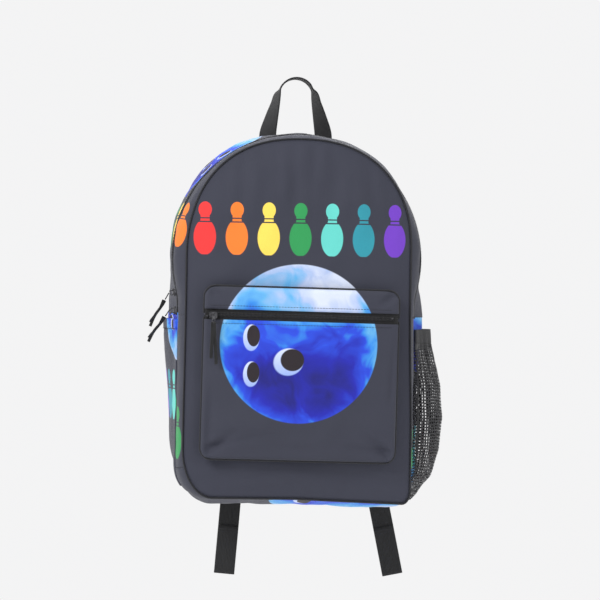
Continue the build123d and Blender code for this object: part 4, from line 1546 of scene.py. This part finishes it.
# ---------------------------------------------------------------- laptop sleeve
sl_lo, sl_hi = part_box("laptop_sleeve")
xs = np.linspace(-1, 1, 60)
zs = np.linspace(sl_lo.z + 6 * MM, sl_hi.z, 40)
u, z = np.meshgrid(xs, zs, indexing="ij")
above_corner = base_z + corner_radius - z
corner_room = leg_half - corner_radius + np.sqrt(np.maximum(corner_radius**2 - above_corner**2, 0))
room = np.where(above_corner > 0, corner_room, leg_half)
x = u * (room - 6 * MM)
y = sl_lo.y + 1 * MM - 4 * MM * (1 - u**4) * smooth_step((z - sl_lo.z) / np.ptp(zs))
y = y + ripple(np.stack([x, z, 0 * z], -1), 50 * MM, 3.0) * 1.2 * MM
sleeve_points = np.stack([x, y, z], -1)
sleeve = grid("laptop_sleeve_cloth", sleeve_points, sleeve_points[..., (0, 2)], lining)
thicken(sleeve, 2.6 * MM, lining, "hung", Vector((0, 0.2, -0.3)))
hand_over(sleeve, "root", "padding", "laptop_sleeve")
top_edge = sleeve_points[:, -1] + (0, 1.2 * MM, -4 * MM)
edge_section = oval(5 * MM, 13 * MM, 16, 4)
sleeve_binding = sweep("laptop_sleeve_binding_tape", top_edge, BACK, UP, edge_section, binding)
hand_over(sleeve_binding, "root", "binding", "laptop_sleeve_binding")


# ---------------------------------------------------------------- pullers
def puller(name, body, slot_node, start, drop, wide, spread, turn, length):
    """Two strands of ribbon through a pull, hanging with splayed ends."""
    strands = []
    for strand in (-1, 1):
        t = np.linspace(0, 1, 26)
        swing = np.array(drop) / np.linalg.norm(drop)
        across0 = np.array(spread, float)
        out = across0 * strand * (0.3 + 0.7 * smooth_step(t))[:, None] * wide * 0.75
        wave = np.cross(swing, across0) * (np.sin(t * 6 + strand) * 0.9 * MM)[:, None]
        fall = t * length * (1.0 if strand > 0 else 0.86)
        path = np.array(start) + swing * fall[:, None] + out + wave
        way = tangents(path)
        angle = np.radians(turn + strand * 25 * t)[:, None]
        side_way = np.cos(angle) * across0 + np.sin(angle) * np.cross(swing, across0)
        side_way = side_way - way * (side_way * way).sum(1)[:, None]
        side_way /= np.linalg.norm(side_way, axis=1)[:, None]
        up = np.cross(way, side_way)
        strands.append(sweep("strand", path, side_way, up, strap_section(wide, 0.9 * MM), ribbon_weave))
    obj = joined(name, strands, ribbon_weave)
    hand_over(obj, body, "ribbon", slot_node)


for place in ("upper", "lower"):
    r_lo, r_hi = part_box(f"main_ribbon_{place}")
    start = (r_hi.x - 1.5 * MM, (r_lo.y + r_hi.y) / 2, r_hi.z - MM)
    drop = (r_lo.x - r_hi.x, 0, r_lo.z - r_hi.z)
    length = math.hypot(r_lo.x - r_hi.x, r_lo.z - r_hi.z) * 0.95 * 0.9
    node, pull = f"main_ribbon_{place}", f"main_pull_{place}"
    puller(f"{node}_strands", pull, node, start, drop, 3.4 * MM, (0.35, 0.94, 0.0), 38, length)
r_lo, r_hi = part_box("pocket_ribbon")
puller(
    "pocket_ribbon_strands",
    "pocket_pull",
    "pocket_ribbon",
    ((r_lo.x + r_hi.x) / 2, (r_lo.y + r_hi.y) / 2, r_hi.z),
    (0.02, 0, -1),
    3.8 * MM,
    (1.0, 0, 0),
    0,
    r_hi.z - r_lo.z + 8 * MM,
)

for node in (
    "main_slider_upper",
    "main_slider_lower",
    "main_pull_upper",
    "main_pull_lower",
    "pocket_slider",
    "pocket_pull",
    "main_zip_stops",
    "pocket_zip_stops",
):
    mesh = bpy.data.objects[node].data
    mesh.materials.clear()
    mesh.materials.append(metal)

# ---------------------------------------------------------------- floor
floor_size = 1.8
floor_points = np.array([(-1, -1), (1, -1), (1, 1), (-1, 1)]) * floor_size
floor = piece("floor", [(x, y, -1.0) for x, y in floor_points], [(0, 1, 2, 3)], floor_points)
floor_tree = Tree("floor_paint", 0.9)
floor_grain = floor_tree.grain(60, 3)
floor_tree.colour(floor_tree.mix(floor_grain, (0.86, 0.86, 0.86), (0.8, 0.8, 0.8)))
floor.data.materials.append(floor_tree.mat)
floor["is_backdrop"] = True

# ---------------------------------------------------------------- finish
size = [[list(corner) for corner in cad_box], [list(corner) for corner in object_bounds()]]
